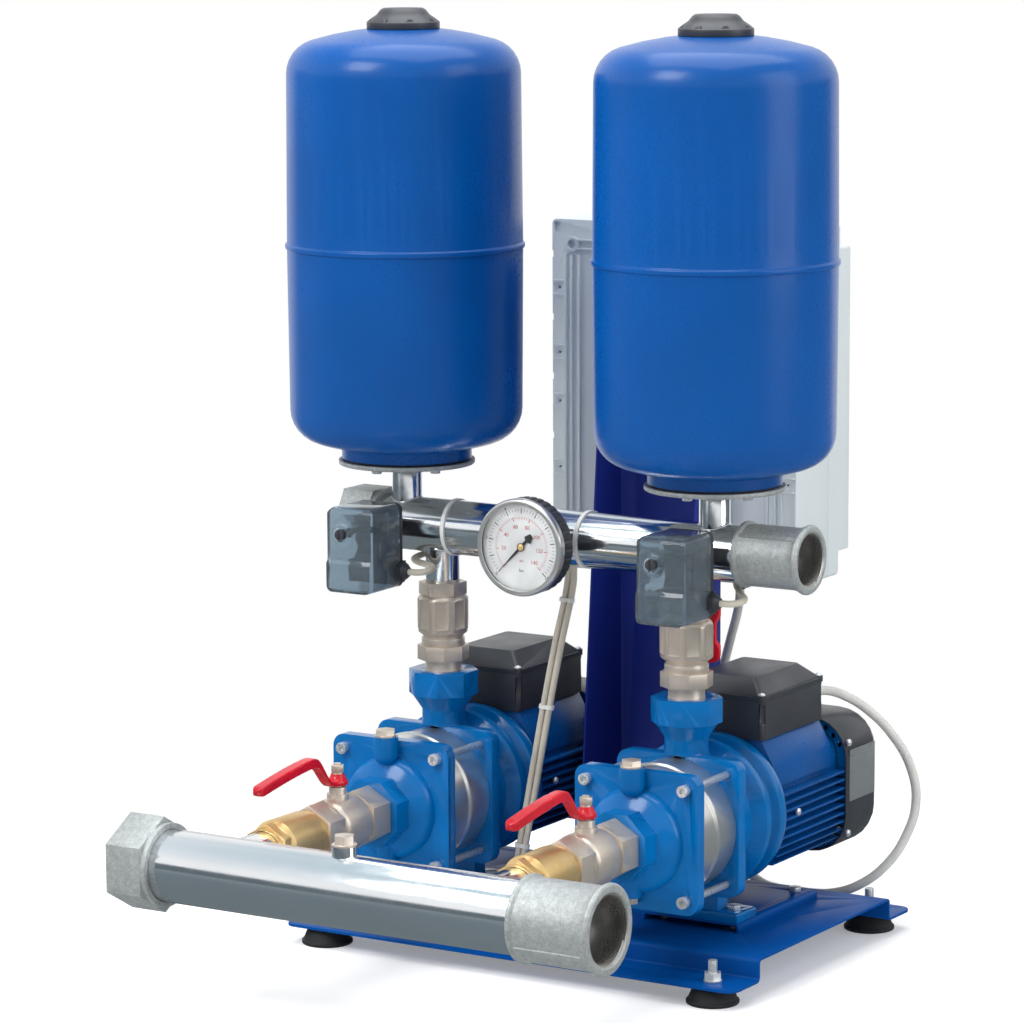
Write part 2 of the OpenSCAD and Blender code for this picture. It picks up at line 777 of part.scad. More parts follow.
module fan_covers() {
  slot_n = 20;
  slots = [[18, 14, 3], [38, 20, 5]];
  color(black_plastic) at_pumps() difference() {
    fan_cover_form(0);
    fan_cover_form(fan_cover_t);
    // Air slots in the end wall, in two rings: start, length and width
    for (i = [0:slot_n - 1], slot = slots) rotate([0, i * 360 / slot_n, 0])
      translate([slot[0], fan_end_y - 5, -slot[2] / 2]) cube([slot[1], 10, slot[2]]);
  }
}

// Terminal boxes

box_y = bracket_y + 1 + box_l / 2;
box_r = 5;
gland_x = 30;
gland_z = box_floor + 23;

module terminal_boxes() {
  wall = 3;
  color(black_plastic) at_pumps() difference() {
    translate([0, box_y, box_floor]) linear_extrude(box_h) polygon(round_rect(box_w, box_l, box_r));
    translate([0, box_y, box_floor + wall]) linear_extrude(box_h)
      polygon(round_rect(box_w - 2 * wall, box_l - 2 * wall, 12));
    translate([gland_x, 0, gland_z]) rod_y(8, box_y, box_y + box_l);
    // Grooves under the lid screws
    lid_screws(1) rod_z(notch_r, box_floor + box_h - 24, box_floor + box_h - 4);
  }
}

// The four lid screws, a little in or out from a box's corners
notch_r = 6;
module lid_screws(out) {
  for (x = sides, y = sides) translate([x * (box_w / 2 + out), box_y + y * (box_l / 2 + out), 0])
    children();
}

module terminal_lids() {
  rim = 5;
  bevel = 20;
  color(black_plastic) at_pumps() {
    lid_screws(-4) rod_z(notch_r - 1, box_floor + box_h, box_floor + box_h + rim + 1.5);
    translate([0, box_y, box_floor + box_h]) lid_form(rim, bevel);
  }
}

module lid_form(rim, bevel) {
  union() {
    linear_extrude(rim) polygon(round_rect(box_w + 2, box_l + 2, box_r));
    hull() {
      up(rim) linear_extrude(0.5) polygon(round_rect(box_w - 4, box_l - 4, box_r));
      up(lid_h - 0.5) linear_extrude(0.5)
        polygon(round_rect(box_w - 2 * bevel, box_l - 2 * bevel, box_r));
    }
  }
}

// A cable gland for a cable of radius r, pointing up
module gland(r, body_r, len) {
  difference() {
    union() {
      hex(2 * body_r + 2, 0.36 * len);
      rod_z(body_r - 1, 0, 0.65 * len);
      up(0.46 * len) cylinder(r1 = body_r, r2 = r + 1.4, h = 0.54 * len);
    }
    rod_z(r, -cut, len + cut);
  }
}
module small_gland(cable_r) {
  gland(cable_r + gland_slack, cable_r + 3.4, len = 14);
}
motor_cable_r = 5.25;
switch_cable_r = 3.6;
panel_gland_y = panel_y + 46;
panel_gland_xs = [64, -15, -45];
switch_gland_z = -44;
switch_gland_r = 9.5;
gland_slack = 0.15;

module cable_glands() {
  color(black_plastic) {
    at_pumps() translate([gland_x, box_y + box_l / 2, gland_z]) along_y()
      small_gland(motor_cable_r);
    at_tanks(delivery_z) translate([switch_w / 2, -switch_back + 2, switch_gland_z])
      along_x() gland(switch_cable_r + gland_slack, switch_gland_r, len = 11);
    on_floor() for (i = [0:2]) translate([panel_gland_xs[i], panel_gland_y, panel_z]) rotate([180, 0, 0])
      small_gland(i == 0 ? motor_cable_r : switch_cable_r);
  }
}

// Suction line

module at_suction() {
  on_floor() translate([0, suction_y, pump_z]) children();
}
module at_suction_test() {
  at_suction() translate([15, 0, 0]) children();
}

module suction_manifold() {
  stub_in = stub_r - pipe_t;
  seat = 14;
  color(zinc) difference() {
    union() {
      at_suction() rod_x(suction_r, -suction_left, suction_right);
      for (x = pump_xs) at_pump(x) rod_y(stub_r, suction_y, check_y + seat);
      at_suction_test() rod_z(13, 0, suction_r + 9);
    }
    at_suction() rod_x(suction_r - pipe_t, -suction_left - cut, suction_right + cut);
    for (x = pump_xs) at_pump(x) rod_y(stub_in, suction_y, check_y + seat + cut);
    at_suction_test() rod_z(9, 0, suction_r + 20);
  }
}

// A threaded socket along X from x = 0, with beaded rims and two ribs
module socket(len, seat, rim, pipe_r, mouth_r, rib_angle) {
  body_r = rim - 4;
  bead_r = 3.5;
  chamfer = 2;
  rib = [len - 6 - bead_r, 5, 5];
  difference() {
    union() {
      along_x() lathe(concat([[mouth_r - 3, 0], [rim - 2.5, 0], [rim - 1.5, 1], [rim - 1.5, 4],
        [body_r, 7], [body_r, len - 4 * bead_r]], arc([rim - bead_r, len - bead_r], bead_r, -60, 90),
        [[mouth_r - 3, len]]));
      for (a = [0, 180]) rotate([rib_angle + a, 0, 0]) translate([6, -rib[1] / 2, body_r - 3]) cube(rib);
    }
    rod_x(pipe_r + fit_gap, -cut, seat + fit_gap);
    rod_x(mouth_r, seat, len + cut);
    translate([len - chamfer, 0, 0]) along_x()
      cylinder(r1 = mouth_r, r2 = mouth_r + chamfer + cut, h = chamfer + cut);
  }
}

module suction_socket() {
  color(galvanised) at_suction() translate([suction_right - suction_seat, 0, 0])
    socket(suction_socket_l, suction_seat, suction_rim_r, suction_r, suction_mouth_r,
      rib_angle = 120);
}

// A hexagon cap on the left end of a pipe, its mouth at x = 0
module hex_cap(len, r, pipe_r, seat, turned) {
  along_x() difference() {
    union() {
      up(-len) rotate([0, 0, turned]) cylinder(r = r, h = len - 6, $fn = 6);
      up(-8) cylinder(r = pipe_r + 6, h = 8);
    }
    up(-seat - fit_gap) cylinder(r = pipe_r + fit_gap, h = seat + cut);
  }
}

module hex_caps() {
  color(galvanised) {
    at_suction() translate([suction_cap_seat - suction_left, 0, 0])
      hex_cap(suction_cap_l, suction_cap_r, suction_r, suction_cap_seat, 0);
    at_delivery() translate([delivery_cap_seat - delivery_left, 0, 0])
      hex_cap(delivery_cap_l, delivery_cap_r, delivery_r, delivery_cap_seat, 30);
  }
}

// Check valves: the seat, the chamber and the guide, along the flow
seat_y = check_y + 18;
chamber_y = seat_y + 4;
guide_y = valve_y - 14;
guide_r = 3.6;
poppet_y = chamber_y + 8;

module check_valve_bodies() {
  seat = 14;
  collar = 5;
  hex_l = 12;
  hex_af = 2 * stub_r + 6;
  shoulder_y = check_y + collar + hex_l - 2;
  color(brass) at_pumps() difference() {
    union() {
      back(check_y + collar) along_y() rotate([0, 0, 30]) hex(hex_af, hex_l);
      lathe_y([[0, check_y], [stub_r + 2, check_y], [stub_r + 2, shoulder_y], [check_r - 5, shoulder_y],
        [check_r, shoulder_y + 6], [check_r, valve_y - 12], [check_r - 2, valve_y - 10],
        [check_r - 2, valve_y - 2], [check_r - 4, valve_y], [port_r - fit_gap, valve_y],
        [port_r - fit_gap, valve_y + 13], [0, valve_y + 13]]);
    }
    rod_y(stub_r + fit_gap, check_y - cut, check_y + seat + fit_gap);
    rod_y(flow_r - 2, check_y, chamber_y + cut);
    rod_y(check_r - 5, chamber_y, guide_y);
    rod_y(guide_r, guide_y - cut, valve_y + 14);
    for (a = [45:90:315]) rotate([0, a, 0]) translate([10.5, 0, 0])
      rod_y(5.5, guide_y - cut, valve_y + 14);
  }
}

module check_poppet(x) {
  head_r = flow_r + 2;
  color(brass) at_pump(x) {
    rod_y(guide_r - run_gap, chamber_y + 3, valve_y + 2);
    lathe_y([[0, chamber_y + seat_gap], [head_r, chamber_y + seat_gap], [head_r, chamber_y + 4],
      [11, poppet_y - 2], [11, poppet_y], [0, poppet_y]]);
  }
}
module check_poppet_left() check_poppet(pump_xs[0]);
module check_poppet_right() check_poppet(pump_xs[1]);

// Tube swept along a list of points, closed at both ends
function tangent(p, i) = unit(p[min(i + 1, len(p) - 1)] - p[max(i - 1, 0)]);
function ring(p, i, r, n) = let (d = tangent(p, i), ref = abs(d[2]) > 0.9 ? [0, 1, 0] : [0, 0, 1])
  let (u = unit(cross(d, ref)), v = cross(d, u))
  [for (k = [0:n - 1]) p[i] + (u * cos(360 * k / n) + v * sin(360 * k / n)) * r];
module tube(p, r, n) {
  last = len(p) - 1;
  points = [for (i = [0:last]) each ring(p, i, r, n)];
  side = [for (i = [0:last - 1], k = [0:n - 1]) [i * n + k, i * n + (k + 1) % n,
    (i + 1) * n + (k + 1) % n, (i + 1) * n + k]];
  ends = [[for (k = [n - 1:-1:0]) k], [for (k = [0:n - 1]) last * n + k]];
  polyhedron(points, concat(side, ends), convexity = 8);
}

module check_springs() {
  turns = 5;
  wire_r = 0.9;
  coil_r = 9;
  y0 = poppet_y + wire_r + seat_gap;
  y1 = guide_y - wire_r - seat_gap;
  steps = turns * 10;
  path = [for (i = [0:steps]) let (a = 360 * turns * i / steps)
    [coil_r * cos(a), y0 + (y1 - y0) * i / steps, coil_r * sin(a)]];
  color(zinc) at_pumps() tube(path, wire_r, 6);
}

// Suction ball valves

module suction_valve_bodies() {
  hex_af = 56;
  bulge_r = ball_r + 6;
  ring_r = bulge_r - 2;
  y0 = valve_y;
  y1 = port_y;
  color(nickel) at_pumps() difference() {
    union() {
      back(y0) along_y() rotate([0, 0, 30]) hex(hex_af, stem_y - ball_r - 2 - y0);
      back(stem_y + ball_r + 2) along_y() rotate([0, 0, 30])
        hex(hex_af, y1 - stem_y - ball_r - 2);
      lathe_y(concat([[0, stem_y - ball_r - 6], [ring_r, stem_y - ball_r - 6], [ring_r,
        stem_y - ball_r - 2]],
        arc([bulge_r - 10, stem_y - ball_r + 8], 10, -90, 0, 3), arc([bulge_r - 10, stem_y + ball_r - 8],
          10, 0, 90, 3),
        [[ring_r, stem_y + ball_r + 2], [ring_r, stem_y + ball_r + 6], [0, stem_y + ball_r + 6]]));
      rod_y(port_r - fit_gap, y1 - 1, y1 + 13);
      back(stem_y) rod_z(12, 0, lever_z - 8);
      back(stem_y) rod_z(9.5, 0, lever_z - seat_gap);
    }
    rod_y(flow_r, y0 - cut, y1 + 14);
    rod_y(port_r, y0 - cut, y0 + 13 + fit_gap);
    back(stem_y) sphere(r = ball_r + seat_gap);
    back(stem_y) rod_z(stem_r + run_gap, 0, stem_top);
  }
}
stem_r = 6;
stem_thread_r = 4;
lever_z = ball_r + 18;
lever_t = 8;
lever_boss_h = 8;
lever_nut_h = 7;
lever_top = lever_z + lever_t + lever_boss_h;
stem_top = lever_top + lever_nut_h + 2;

// The ball with its flow bore, its stem and the lever nut
module suction_ball(x) {
  flat = ball_r - 4;
  color(nickel) at_pump(x) back(stem_y) {
    difference() {
      sphere(r = ball_r);
      rod_y(flow_r, -2 * ball_r, 2 * ball_r);
      translate([-ball_r, -ball_r, flat]) cube([2 * ball_r, 2 * ball_r, ball_r]);
    }
    rod_z(stem_r, flat, lever_top - seat_gap);
    rod_z(stem_thread_r, flat, stem_top);
    difference() {
      up(lever_top) hex(13, lever_nut_h);
      rod_z(stem_thread_r + run_gap, lever_z, stem_top);
    }
  }
}
module suction_ball_left() suction_ball(pump_xs[0]);
module suction_ball_right() suction_ball(pump_xs[1]);

// The lever: a bar that rises in a wave and droops to its tip, and its coned boss
module suction_lever(x) {
  crank_y = 50;
  rise = 31;
  droop = 13;
  hub_r = 13;
  tip_r = 8.5;
  neck_w = 16;
  bar_h = 13;
  wide_y = crank_y + 30;
  tip_y = lever_l - bar_h / 2;
  function wave(a) = (1 - cos(180 * min(1, (a - hub_r) / (crank_y - hub_r)))) / 2;
  function fall(a) = droop * pow(max(0, (a - crank_y) / (tip_y - crank_y)), 1.4);
  function half(a) = (lever_t + (bar_h - lever_t) * wave(a)) / 2;
  function mid(a) = lever_z + lever_t / 2 + rise * wave(a) - fall(a);
  steps = [for (i = [0:22]) hub_r + (tip_y - hub_r) * i / 22];
  side = concat([[hub_r, lever_z], [hub_r, lever_z + lever_t]], [for (a = steps) [-a, mid(a) + half(a)]],
    arc([-tip_y, mid(tip_y)], bar_h / 2, 105, 255), [for (a = reversed(steps)) [-a, mid(a) - half(a)]]);
  color(lever_red) at_pump(x) back(stem_y) difference() {
    union() {
      intersection() {
        extrude_x(-hub_r, hub_r) polygon(side);
        up(lever_z - cut) linear_extrude(2 * rise) polygon(concat(
          arc([0, 0], hub_r, -50, 230, 16), [[-neck_w / 2, -crank_y], [-tip_r, -wide_y]],
          arc([0, -lever_l + tip_r], tip_r, 180, 360, 8), [[tip_r, -wide_y], [neck_w / 2, -crank_y]]));
      }
      up(lever_z + lever_t - 0.5) cylinder(r1 = hub_r - 2, r2 = stem_r + 2, h = lever_boss_h + 0.5);
    }
    rod_z(stem_r + run_gap, 0, stem_top + cut);
  }
}
module suction_lever_left() suction_lever(pump_xs[0]);
module suction_lever_right() suction_lever(pump_xs[1]);

// Delivery line

module at_delivery() {
  on_floor() up(delivery_z) children();
}
boss_out = 44;
nipple_r = 6;

// The threaded bosses on the front of the delivery manifold
module at_bosses() {
  for (x = concat(tank_xs, [gauge_x])) at_delivery() translate([x, 0, 0]) children();
}

module delivery_manifold() {
  stub_end = riser_top_z - 14;
  color(zinc) difference() {
    union() {
      at_delivery() rod_x(delivery_r, -delivery_left, delivery_right);
      for (x = pump_xs) on_floor() translate([x, 0, 0]) rod_z(riser_stub_r, stub_end, delivery_z);
      at_tanks(0) rod_z(tank_riser_r, delivery_z, counter_z);
      at_bosses() rod_y(11, -boss_out, 0);
    }
    at_delivery() rod_x(delivery_r - pipe_t, -delivery_left - cut, delivery_right + cut);
    for (x = pump_xs) on_floor() translate([x, 0, 0])
      rod_z(riser_stub_r - pipe_t, stub_end - cut, delivery_z);
    at_tanks(0) rod_z(tank_riser_r - pipe_t, delivery_z, counter_z + cut);
    at_bosses() rod_y(nipple_r, -boss_out - cut, 0);
  }
}

module delivery_socket() {
  color(galvanised) at_delivery() translate([delivery_right - delivery_seat, 0, 0])
    socket(delivery_socket_l, delivery_seat, delivery_rim_r, delivery_r, delivery_mouth_r,
      rib_angle = 44);
}

// One valve on each riser, the left one turned about it
module at_riser(i) {
  on_floor() translate([pump_xs[i], 0, 0]) rotate([0, 0, i == 0 ? left_valve_turn : 0]) children();
}
handle_stem_r = 5;
handle_thread_r = 3.5;
riser_flow_r = 13;

module delivery_valve_bodies() {
  z0 = riser_valve_z;
  z1 = riser_top_z - 13;
  collar_r = riser_valve_r - 3;
  shoulder_r = 9;
  barrel_r = riser_valve_r + 1.5;
  panel_z0 = z0 + 19;
  panel_size = [17, z1 - panel_z0 - 5];
  color(nickel) for (i = [0, 1]) at_riser(i) difference() {
    union() {
      rod_z(collar_r, z0, z0 + 8);
      // Eight flats under a rounded shoulder
      intersection() {
        up(z0) octagon(2 * riser_valve_r, riser_valve_h);
        lathe(concat([[0, z0 + 6], [collar_r - 1.5, z0 + 6], [collar_r - 1.5, z0 + 11], [barrel_r,
          z0 + 16]],
          arc([barrel_r - shoulder_r, z1 - shoulder_r], shoulder_r, 0, 80), [[0, z1]]));
      }
      // Raised frames cast on the flats that have no stem
      for (a = [-180:45:0]) rotate([0, 0, a]) translate([riser_valve_r - 0.5, 0,
        panel_z0 + panel_size[1] / 2])
        rotate([90, 0, 90]) linear_extrude(1.3) difference() {
          polygon(round_rect(panel_size[0], panel_size[1], 3));
          polygon(round_rect(panel_size[0] - 3, panel_size[1] - 3, 2));
        }
      up(z1 - cut) hex(2 * riser_stub_r + 8, riser_top_z - z1 + cut);
      up(riser_ball_z) rod_y(10, 0, handle_out - seat_gap);
    }
    rod_z(riser_flow_r, z0 - cut, riser_top_z);
    rod_z(riser_stub_r + fit_gap, riser_top_z - 14 - fit_gap, riser_top_z + cut);
    up(riser_ball_z) sphere(r = riser_ball_r + seat_gap);
    up(riser_ball_z) rod_y(handle_stem_r + run_gap, 0, handle_out + 10);
  }
}

// The union tail in the pump outlet, and its nut
module delivery_unions() {
  tail_r = port_r - 0.5;
  nut_af = 2 * riser_valve_r - 1;
  color(nickel) for (i = [0, 1]) on_floor() translate([pump_xs[i], 0, 0]) {
    lathe([[riser_flow_r, outlet_z - 14], [port_r - fit_gap, outlet_z - 14], [port_r - fit_gap, outlet_z],
      [tail_r, outlet_z], [tail_r, union_z + union_h - 5], [tail_r + 3, union_z + union_h - 5],
      [tail_r + 3, union_z + union_h], [riser_flow_r, union_z + union_h]]);
    difference() {
      up(union_z) rotate([0, 0, 12]) octagon(nut_af, union_h);
      rod_z(tail_r + fit_gap, union_z - cut, union_z + union_h + cut);
      rod_z(tail_r + 3 + fit_gap, union_z + union_h - 5 - fit_gap, union_z + union_h + cut);
    }
  }
}

module delivery_ball(i) {
  flat = riser_ball_r - 3;
  end = handle_out + 14;
  color(nickel) at_riser(i) up(riser_ball_z) {
    difference() {
      sphere(r = riser_ball_r);
      rod_z(riser_flow_r, -2 * riser_ball_r, 2 * riser_ball_r);
      translate([-riser_ball_r, flat, -riser_ball_r]) cube(2 * riser_ball_r);
    }
    rod_y(handle_stem_r, flat, handle_out + handle_t - seat_gap);
    rod_y(handle_thread_r, flat, end);
    difference() {
      back(handle_out + handle_t) along_y() hex(12, 6);
      rod_y(handle_thread_r + run_gap, handle_out, end + cut);
    }
  }
}
handle_t = 5;
module delivery_ball_left() delivery_ball(0);
module delivery_ball_right() delivery_ball(1);

// The wing handle: a bent profile trimmed by its outline
module delivery_handle(i) {
  hub = 11;
  lift = 9;
  wing = [[0, 0], [hub, 0], [hub + 8, lift], [handle_reach, lift + 1],
    [handle_reach, lift + handle_t + 1],
    [hub + 5, lift + handle_t], [hub - 2, handle_t], [0, handle_t]];
  color(lever_red) at_riser(i) translate([0, handle_out, riser_ball_z]) difference() {
    intersection() {
      union() {
        for (s = [0, 180]) rotate([0, s, 0]) extrude_x(-hub, hub) polygon([for (p = wing) [p[1], p[0]]]);
      }
      extrude_y(-cut, 40) polygon(concat(arc([0, handle_reach - hub], hub, 0, 180, 10),
        arc([0, hub - handle_reach], hub, 180, 360, 10)));
    }
    rod_y(handle_stem_r + run_gap, -cut, 40);
  }
}
module delivery_handle_left() delivery_handle(0);
module delivery_handle_right() delivery_handle(1);

// Tanks: a shell's end is a shallow crown and a knuckle
function crown_angle(r, k, c) = asin((r - k) / (c - k));
function end_height(r, k, c) = c - sqrt(pow(c - k, 2) - pow(r - k, 2));
// Outline of an end from radius r0 to the wall, with the crown at z = 0
function tank_end(r, k, c, r0) = let (a = crown_angle(r, k, c), h = end_height(r, k, c))
  concat(arc([0, c], c, asin(r0 / c) - 90, a - 90, 4), arc([r - k, h], k, a - 90, 0, 6));
function raised(p, z) = [for (q = p) [q[0], q[1] + z]];
function flipped(p, z) = [for (q = p) [q[0], z - q[1]]];

module tank_lower_shells() {
  hole_r = 50;
  lip = 8;
  outer = concat(tank_end(tank_end_r, knuckle_r, crown_r, neck_r), [[tank_r, seam_h]]);
  inner = concat(tank_end(tank_end_r - tank_t, knuckle_r - tank_t, crown_r, neck_r),
    [[tank_r - tank_t, seam_h - tank_t]]);
  color(tank_blue) at_tanks(crown_z) difference() {
    lathe(concat([[hole_r, neck_z - crown_z], [neck_r, neck_z - crown_z]], outer,
      reversed(raised(inner, tank_t)), [[neck_r, lip + 2], [hole_r, lip + 2]]));
    tank_bolt_points() rod_z(bolt_r + fit_gap, -lip, 6);
  }
}

module tank_upper_shells() {
  rib_h = 7;
  h = tank_h - seam_h;
  outer = concat([[0, 0]], tank_end(tank_end_r, knuckle_r, crown_r, 5));
  inner = concat([[0, 0]], tank_end(tank_end_r - tank_t, knuckle_r - tank_t, crown_r, 5));
  color(tank_blue) at_tanks(seam_z) lathe(concat(flipped(outer, h),
    [[tank_r, rib_h], [tank_r + seam_rib, rib_h - 2], [tank_r + seam_rib, 1], [tank_r + seam_rib - 1, 0],
    [tank_r - tank_t, 0]], reversed(flipped(inner, h - tank_t))));
}

bolt_r = 3;
module tank_bolt_points() {
  for (i = [0:tank_bolt_n - 1]) rotate([0, 0, (i + 0.5) * 360 / tank_bolt_n - 58])
    translate([neck_r - 8, 0, 0]) children();
}

module tank_flanges() {
  color(galvanised) at_tanks(counter_z) difference() {
    lathe([[tank_riser_r - pipe_t, 0], [counter_r - 1, 0], [counter_r, 1], [counter_r, counter_t],
      [tank_riser_r - pipe_t, counter_t]]);
    tank_bolt_points() rod_z(bolt_r + fit_gap, -cut, counter_t + cut);
  }
}

module tank_bolts() {
  color(zinc) at_tanks(counter_z) tank_bolt_points() rotate([180, 0, 0])
    bolt(2 * bolt_r, counter_t + gasket_t + 9);
}

module tank_caps() {
  base_r = 40;
  top_r = 25;
  sag = crown_r - sqrt(pow(crown_r, 2) - pow(base_r, 2));
  color(black_plastic) at_tanks(tank_top_z) difference() {
    lathe([[0, seat_gap], [base_r * 0.6, seat_gap - sag * 0.36], [base_r, seat_gap - sag], [base_r, 5],
      [base_r - 5, 9],
      [top_r + 4, 13], [top_r, cap_h - 2], [top_r - 3, cap_h], [0, cap_h]]);
    for (a = [0:45:315]) rotate([0, 0, a]) translate([base_r + 2, 0, 6])
      cylinder(r1 = 6, r2 = 13, h = cap_h);
  }
}

module tank_membranes() {
  bag_r = tank_r - 14;
  wall = 2;
  mouth = 46;
  top = tank_h - 130;
  lip_z = neck_z - gasket_t - crown_z;
  outer = concat([[neck_r - 1, lip_z], [neck_r - 1, lip_z + gasket_t], [mouth + 3, lip_z + gasket_t],
    [mouth + 3, 18]],
    arc([bag_r - 40, 70], 40, -70, 0, 4), arc([bag_r - 60, top - 60], 60, 0, 60, 4), [[0, top]]);
  inner = concat([[0, top - wall]], reversed(arc([bag_r - 60, top - 60], 60 - wall, 0, 60, 4)),
    reversed(arc([bag_r - 40, 70], 40 - wall, -70, 0, 4)), [[mouth, 18], [mouth, lip_z]]);
  color(black_plastic) at_tanks(crown_z) difference() {
    lathe(concat(outer, inner));
    tank_bolt_points() rod_z(bolt_r + fit_gap, -30, 10);
  }
}

// Gauge, about its own axis with its front towards the suction side

gauge_in_r = gauge_r - 4;
case_back = gauge_out - gauge_d;
glass_y = -gauge_out + 2;
glass_t = 1.5;
spigot_y = -gauge_out + 5;
dial_y = -gauge_out + 7;
bezel_back = -gauge_out + 9;
arbor_r = 1.5;

module at_gauge() {
  at_delivery() translate([gauge_x, 0, 0]) children();
}

module gauge_case() {
  wall = 2;
  rim = gauge_r - 0.5;
  inner = -case_back - wall - 1;
  scallop_n = 36;
  color(black_plastic) at_gauge() difference() {
    union() {
      lathe_y([[0, -case_back], [rim - 4, -case_back], [rim, -case_back - 4],
        [rim, bezel_back + seat_gap],
        [gauge_r - 3, bezel_back + seat_gap], [gauge_r - 3, spigot_y], [gauge_in_r, spigot_y],
        [gauge_in_r, inner], [0, inner]]);
      back(-boss_out) rotate([180, 0, 0]) along_y() hex(22, case_back - boss_out);
      rod_y(nipple_r - fit_gap, -boss_out - 1, -boss_out + 12);
      // Pillar that carries the pointer's arbor behind the dial
      rod_y(6, dial_y + 1, -case_back);
    }
    // Scalloped rim
    for (i = [0:scallop_n - 1]) rotate([0, i * 360 / scallop_n, 0]) translate([rim + 1.5, 0, 0])
      rod_y(2.6, bezel_back + 3, -case_back + cut, 12);
    rod_y(2, -boss_out - 4, -boss_out + 13);
    rod_y(arbor_r + run_gap, dial_y - cut, dial_y + 10);
  }
}

module gauge_dial() {
  color("white") at_gauge() difference() {
    rod_y(gauge_in_r - fit_gap, dial_y, dial_y + 1);
    rod_y(arbor_r + fit_gap, dial_y - cut, dial_y + 2);
  }
}

// The pointer rests at zero, at the lower left
module gauge_pointer() {
  tip = gauge_in_r - 11;
  zero = 225;
  t = 1;
  color("black") at_gauge() {
    rod_y(arbor_r, dial_y - 2.6, dial_y + 8);
    back(dial_y - 2.2) rotate([0, -zero, 0]) difference() {
      union() {
        rod_y(4.5, 0, t);
        extrude_y(0, t) polygon([[-10, -1.6], [0, -1.6], [tip, 0], [0, 1.6], [-10, 1.6], [-12, 5],
          [-19, 2.5],
          [-19, -2.5], [-12, -5]]);
      }
      rod_y(arbor_r, -cut, 3);
    }
  }
}

module gauge_glass() {
  color([0.9, 0.95, 1, 0.3]) at_gauge() rod_y(gauge_in_r - fit_gap, glass_y, glass_y + glass_t);
}

module gauge_bezel() {
  front = -gauge_out;
  skirt = gauge_r - 3 + fit_gap;
  color(zinc) at_gauge() lathe_y(concat([[gauge_in_r - 2, glass_y - fit_gap], [gauge_in_r - 2, front]],
    arc([gauge_r - 3, front + 3], 3, -90, 0, 3), [[gauge_r, bezel_back], [skirt, bezel_back],
    [skirt, spigot_y - fit_gap], [gauge_in_r, spigot_y - fit_gap], [gauge_in_r, glass_y - fit_gap]]));
}

// Pressure switches

switch_mid = switch_up - switch_h / 2;
switch_r = 7;
knob_x = -9;
knob_z = 2;
knob_r = 6;
cover_face = -switch_back - switch_d + 3;

module switch_bases() {
  plate_t = 6;
  flange_out = switch_back - plate_t;
  color(black_plastic) at_tanks(delivery_z) {
    up(switch_mid) extrude_y(-switch_back, -flange_out)
      polygon(round_rect(switch_w, switch_h, switch_r));
    // Cable entry behind the plate, under the gland
    translate([8, -switch_back, switch_gland_z - switch_gland_r - 1])
      cube([switch_w / 2 - 8, switch_gland_r + 3, 2 * switch_gland_r + 2]);
    // Diaphragm housing with its hexagon and nipple
    difference() {
      union() {
        lathe_y([[0, -flange_out], [24, -flange_out], [24, -flange_out + 3], [14, -boss_out - 3],
          [0, -boss_out - 3]]);
        back(-boss_out - 4) along_y() hex(22, 4);
        rod_y(nipple_r - fit_gap, -boss_out - 1, -boss_out + 12);
      }
      rod_y(2, -flange_out + 1, 0);
    }
    // Spring post, contact block and lever plate in the cover
    up(-6) rod_y(7, -switch_back - 34, -switch_back);
    translate([-20, -switch_back - 26, switch_mid - switch_h / 2 + 7]) cube([40, 26, 22]);
    translate([-22, -switch_back - 12, 4]) cube([44, 12, 3]);
    // The slotted knob that holds the cover on
    translate([knob_x, cover_face, knob_z]) difference() {
      union() {
        rod_y(knob_r, -6, -seat_gap);
        rod_y(4 - fit_gap, -1, switch_d - 3);
      }
      translate([-1, -7, -knob_r]) cube([2, 2, 2 * knob_r]);
    }
  }
}

// The smoked cover with a stepped front, a ring round its knob and pads on its sides
module switch_covers() {
  wall = 2;
  bevel = 6;
  low = switch_mid - switch_h / 2;
  step = low + switch_h * 0.34;
  front = -switch_back - switch_d;
  pad = [switch_w + 2, 30, 38];
  ring_r = 13;
  outline = round_rect(switch_w, switch_h, switch_r);
  color([0.35, 0.4, 0.45, 0.5]) at_tanks(delivery_z) difference() {
    union() {
      intersection() {
        up(switch_mid) extrude_y(front, -switch_back) polygon(outline);
        extrude_x(-switch_w, switch_w) polygon([[-switch_back, low], [front, low], [front, step],
          [cover_face, step + 4], [cover_face, switch_up - bevel], [cover_face + bevel, switch_up],
          [-switch_back, switch_up]]);
      }
      translate([-pad[0] / 2, -switch_back - 10 - pad[1], switch_up - 16 - pad[2]]) cube(pad);
      translate([knob_x, cover_face, knob_z]) lathe_y([[0, cut], [ring_r, cut], [ring_r, -1],
        [ring_r - 2.5, -4],
        [knob_r + 2, -4], [knob_r + 1, 0], [0, 0]]);
    }
    up(switch_mid) extrude_y(cover_face + bevel, -switch_back + cut)
      polygon(round_rect(switch_w - 2 * wall, switch_h - 2 * wall, switch_r - wall));
    translate([knob_x, 0, knob_z]) rod_y(4, front - cut, -switch_back);
  }
}

// Control panel

column_foot_t = 4;

module panel_column() {
  w = column_w / 2 - column_t / 2;
  back = panel_y - column_t / 2;
  front = panel_y - column_d;
  line = [[-w, front], [-w, back], [w, back], [w, front]];
  top = base_z + column_h;
  color(tank_blue) on_floor() difference() {
    union() {
      up(base_z) linear_extrude(column_h) polygon(sheet(line, column_t, column_t));
      translate([-w, front + 1, base_z]) cube([2 * w, column_d - column_t - 0.5, column_foot_t]);
    }
    // The sides taper from the base to the top
    extrude_x(-column_w, column_w) polygon([[front - cut, base_z + 20], [front, base_z + 20],
      [panel_y - column_top_d, top], [panel_y - column_top_d, top + cut], [front - cut, top + cut]]);
    column_bolts() rod_z(bolt_d / 2 + fit_gap, -cut, column_foot_t + cut);
    panel_screws() rod_y(3.2, -10, cut);
  }
}

